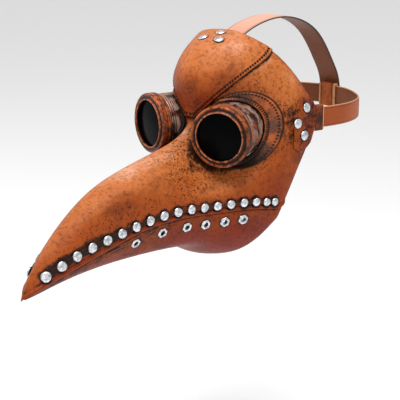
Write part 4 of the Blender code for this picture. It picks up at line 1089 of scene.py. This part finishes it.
BUCKLE_OUT = np.array([-math.sin(BUCKLE_ANGLE), math.cos(BUCKLE_ANGLE), 0])
BAR, HEEL, FRONT_BAR, FRONT_RISE = 1.2, 9.0, -9.5, 3.0


def flat_point(along, out):
    """Point in the buckle's flat: the middle plus along times its run plus out times its outward side."""
    return BUCKLE_MIDDLE + BUCKLE_RUN * along + BUCKLE_OUT * out


def smooth_path(points, per_span):
    """Points along a natural cubic spline through the given ones."""
    last = len(points) - 1
    return spline_weights(last + 1, np.linspace(0, last, last * per_span + 1)) @ np.array(points, float)


def strap_points(path, across, width):
    """Points, faces and marks of a strap: an outline carried along the path, its width going as the cosine
    to the power 0.28 and its thickness as the sine to the power 0.7 of the turn. The crease mark is high
    on the two lines 1.9 mm in from the edges."""
    turn = circle_angles(STRAP_SIDES)
    edge = np.sign(np.cos(turn)) * np.abs(np.cos(turn)) ** 0.28
    face = np.sign(np.sin(turn)) * np.abs(np.sin(turn)) ** 0.7
    w = edge * width / 2
    inset = width / 2 - np.abs(w)
    t = face * STRAP / 2 * (1 - 0.12 * bell(inset, 1.9, 0.5))
    across = np.broadcast_to(np.asarray(across, float), path.shape)
    out = unit(np.cross(unit(np.gradient(path, axis=0)), across))
    points = path[:, None] + across[:, None] * w[:, None] + out[:, None] * t[:, None]
    rows = len(path)
    end = np.arange(STRAP_SIDES)
    # up: painted highlight on the strap's upward faces
    marks = {"edge": smoothstep(1.2, 0.15, inset), "crease": bell(inset, 1.9, 0.45),
             "lining": (face < 0) * 1.0, "up": np.clip(out[:, 2:], 0, 1) ** 3 * (face > 0)}
    marks = {key: np.broadcast_to(value, (rows, STRAP_SIDES)) for key, value in marks.items()}
    return points, [lattice(rows, STRAP_SIDES, ring=True),
                    np.stack([end[::-1], (rows - 1) * STRAP_SIDES + end])], marks


def bridle_leather(name, edge_colour):
    """Smooth dyed strap leather: even tan with a long soft streak, fine pores, a pale painted highlight on
    the upward faces, a dark crease line, pale or dark cut edges and a rough lining."""
    make = Finish(name)
    cloud, mottle, pore = make.noise(22, 4, 0.6), make.noise(260, 5, 0.6), make.noise(1500, 3)
    colour = make.over((0.42, 0.088, 0.015), (0.34, 0.064, 0.010), cloud, 0.35, 0.7)
    colour = make.over(colour, (0.16, 0.028, 0.006), mottle, 0.5, 0.75, 0.3)
    # the up mark lays a pale painted highlight on the upward faces
    for mark, share, laid_colour in (("up", 0.75, (0.78, 0.44, 0.33)), ("lining", 0.75, (0.10, 0.04, 0.02)),
                               ("crease", 0.6, (0.09, 0.02, 0.008))):
        colour = make.mix(make.times(make.mark(mark), share), colour, laid_colour)
    colour = make.mix(make.mark("edge"), colour, edge_colour)
    relief = make.plus(make.times(mottle, 0.3), make.times(pore, 0.2))
    return make.set(Base_Color=colour, Roughness=make.plus(make.times(mottle, 0.3), 0.3),
                    Normal=make.bump(relief, 0.0004), Specular_IOR_Level=0.2)


pale_edged = bridle_leather("bridle_leather", (0.50, 0.25, 0.12))
dark_edged = bridle_leather("bridle_leather_dark_edge", (0.02, 0.01, 0.007))
UP = np.array([0, 0, 1.0])
back = [(30, 91.8, 10.2), (12, 97, 10), (-8, 96.9, 10)]
flat = [flat_point(a, o) for a, o in ((-16, -0.6), (-9.5, -0.2), (-2, 2.3), (5, 4.6), (10, 5.2), (17, 4.2),
                                      (24, 3.8), (34, 3.1))]
left_path = smooth_path(STRAP_FRONT + STRAP_SIDE + back + flat, 14)
mirror = np.array([-1, 1, 1])
turn_radius = BAR + 0.3 + STRAP / 2 + 0.25
fold = [flat_point(HEEL + turn_radius * math.sin(a), turn_radius * math.cos(a))
        for a in np.radians([0, -45, -90, -135, -180])]
right_path = smooth_path([np.array(p) * mirror for p in STRAP_FRONT + STRAP_SIDE[:3]]
                         + [flat_point(27, LAYER), flat_point(20, LAYER), flat_point(14, 1.6)] + fold
                         + [flat_point(14, -1.6), flat_point(20, -LAYER), flat_point(26, -LAYER - 0.25)], 14)
for name, path, across in (("rear_strap_left", left_path, UP), ("rear_strap_right", right_path, -UP)):
    points, faces, marks = strap_points(path, across, REAR_WIDTH)
    piece(name + "_leather", points, faces, pale_edged, [name], marks=marks)

TOP_PATH = [(-93, 81.0), (-80, 85.0), (-66, 88.2), (-52, 93.6), (-36, 98.4), (-16, 101.5), (4, 101.6),
            (24, 98.2), (44, 91), (62, 79.5), (77, 63.5), (89, 47), (97.5, 34), (101.9, 22), (102.6, 12),
            (102.6, 2)]
points, faces, marks = strap_points(smooth_path([(0, y, z) for y, z in TOP_PATH], 14), (-1, 0, 0), TOP_WIDTH)
piece("top_strap_leather", points, faces, dark_edged, ["top_strap"], marks=marks)

# ---- Keepers and loops -----------------------------------------------------------------------
# Short sleeves of leather round the straps: one behind each temple and one beside the buckle in dark
# leather with pale cut edges, and the loop under the top strap's end in the strap's own leather.


def sleeve(place, run, opening, wall, length, rows=25):
    """Points, faces and marks of a sleeve: two rounded rectangles, |x|^8 + |y|^8 = 1, carried straight
    along the strap and joined at the ends; the outer one swells by 0.25 mm in the middle and draws in
    by as much at its ends."""
    run = unit(np.asarray(run, float))
    out = np.cross(UP, run)
    turn = circle_angles(SLEEVE_SIDES)
    squared = [np.sign(f) * np.abs(f) ** 0.25 for f in (np.cos(turn), np.sin(turn))]
    t = np.linspace(-1, 1, rows)[:, None]
    shape = []
    for grow in (wall, 0.0):
        swell = (0.25 * (1 - t ** 4) - 0.25 * (t ** 12)) * (1 if grow else 0)
        x, y = squared[0] * (opening[0] / 2 + grow + swell), squared[1] * (opening[1] / 2 + grow + swell)
        shape.append(place + x[..., None] * out + y[..., None] * UP + (t * length / 2)[..., None] * run)
    edge = np.concatenate([smoothstep(0.76, 0.86, np.abs(t)), np.ones((rows, 1))])
    crease = np.concatenate([bell(np.abs(t), 0.66, 0.06), np.zeros((rows, 1))])
    marks = {"edge": edge * np.ones(SLEEVE_SIDES), "crease": crease * np.ones(SLEEVE_SIDES)}
    return np.concatenate([shape[0], shape[1][::-1]]), hoop(2 * rows, SLEEVE_SIDES), marks


def keeper_leather(name, colour, deep, edge_colour):
    make = Finish(name)
    cloud, mottle, pore = make.noise(90, 4, 0.6), make.noise(300, 5, 0.65), make.noise(1500, 3)
    base = make.over(colour, deep, cloud, 0.38, 0.66)
    base = make.over(base, deep, mottle, 0.5, 0.7, 0.5)
    base = make.mix(make.times(make.mark("crease"), 0.8), base, (0.015, 0.006, 0.004))
    base = make.mix(make.times(make.mark("edge"), make.ramp(mottle, 0.3, 0.42)), base, edge_colour)
    relief = make.plus(make.times(mottle, 0.4), make.times(pore, 0.2))
    return make.set(Base_Color=base, Roughness=make.plus(make.times(mottle, 0.3), 0.28),
                    Normal=make.bump(relief, 0.0005), Specular_IOR_Level=0.15)


dark_keeper = keeper_leather("keeper_leather", (0.24, 0.05, 0.013), (0.06, 0.014, 0.006), (0.62, 0.36, 0.18))
tan_keeper = keeper_leather("loop_leather", (0.40, 0.098, 0.022), (0.24, 0.05, 0.013), (0.50, 0.25, 0.12))
keeper_run = np.array(STRAP_FRONT[4], float) - STRAP_FRONT[2]
sleeves = [(f"strap_keeper_{side}", (np.array(STRAP_FRONT[2]) + keeper_run * 0.5) * [sign, 1, 1],
            keeper_run * [sign, 1, 1], (STRAP + 1.2, REAR_WIDTH + 1.2), 1.5, 13, dark_keeper, "dark_leather",
            f"strap_keeper_{side}") for side, sign in SIDES.items()]
sleeves += [("top_strap_loop", np.array([2, 97.1, 10]), (-1, 0, 0), (STRAP + 1.2, REAR_WIDTH + 1.2), 1.4, 20,
             tan_keeper, "strap_leather", "mask"),
            ("buckle_keeper", flat_point(23, 1.0), BUCKLE_RUN, (3 * STRAP + 2.2, REAR_WIDTH + 1.2), 1.3, 7,
             dark_keeper, "dark_leather", "buckle_keeper")]
for name, place, run, opening, wall, length, finish, slot, body in sleeves:
    points, faces, marks = sleeve(place, run, opening, wall, length)
    piece(name + "_leather", points, faces, finish, [name], body, marks)

# ---- Buckle ----------------------------------------------------------------------------------
# A heel-bar buckle bent from nickel-plated round wire. The frame turns on its heel bar inside the right
# strap's fold, and the prong is bent round the same bar.


def round_wire(path, radius, closed, sides=20):
    """Points and faces of a wire: a circle carried along a path. Its first axis is a fixed direction of
    the buckle less the tangent's share of it, and the second is square to both."""
    around = np.concatenate([path[-1:], path, path[:1]]) if closed else path
    along = unit(np.gradient(around, axis=0)[1:-1] if closed else np.gradient(around, axis=0))
    flat_normal = np.cross(BUCKLE_RUN, BUCKLE_OUT)
    if closed:
        reference = np.cross(BUCKLE_RUN * (HEEL - FRONT_BAR) - BUCKLE_OUT * FRONT_RISE, flat_normal)
    else:
        reference = np.where(np.abs(along @ flat_normal)[:, None] > 0.9, BUCKLE_OUT, flat_normal)
    x = unit(reference - (reference * along).sum(1, keepdims=True) * along)
    y = np.cross(along, x)
    angle = circle_angles(sides)
    spokes = np.cos(angle)[:, None] * x[:, None] + np.sin(angle)[:, None] * y[:, None]
    points = path[:, None] + radius * spokes
    end, rows = np.arange(sides), len(path)
    caps = [] if closed else [np.stack([end[::-1], (rows - 1) * sides + end])]
    return points, [lattice(rows, sides, ring=True, loop=closed)] + caps


reach, corner, frame_half = HEEL - FRONT_BAR, 2.5, REAR_WIDTH / 2 + 1.6
corner_angles = np.radians(np.linspace(0, 90, 13))
near, far, top = -corner, corner - reach, frame_half - corner
outline = np.concatenate([
    np.stack([x + corner * np.cos(corner_angles + begin), z + corner * np.sin(corner_angles + begin)], -1)
    for x, z, begin in ((near, top, 0), (far, top, math.pi / 2), (far, -top, math.pi),
                        (near, -top, 1.5 * math.pi))])
along, rise = outline[:, :1], outline[:, 1:]
path = flat_point(HEEL, 0) + BUCKLE_RUN * along - BUCKLE_OUT * FRONT_RISE * along / reach + UP * rise
points, faces = round_wire(path, BAR, True)
piece("buckle_frame_nickel", points, faces, plate, ["buckle_frame"], "buckle_frame")

PRONG = 0.8
eye = BAR + 0.45 + PRONG
bend = np.radians(np.linspace(-170, 90, 41))
prong = np.concatenate([np.stack([eye * np.cos(bend), eye * np.sin(bend)], -1),
                        np.linspace((-2, eye + 0.2), (-reach - 1.6, FRONT_RISE + BAR + 1.3), 12)])
path = flat_point(HEEL, 0) + BUCKLE_RUN * prong[:, :1] + BUCKLE_OUT * prong[:, 1:]
points, faces = round_wire(path, PRONG, False)
piece("buckle_prong_nickel", points, faces, plate, ["buckle_prong"], "buckle_prong")

bpy.context.view_layer.update()
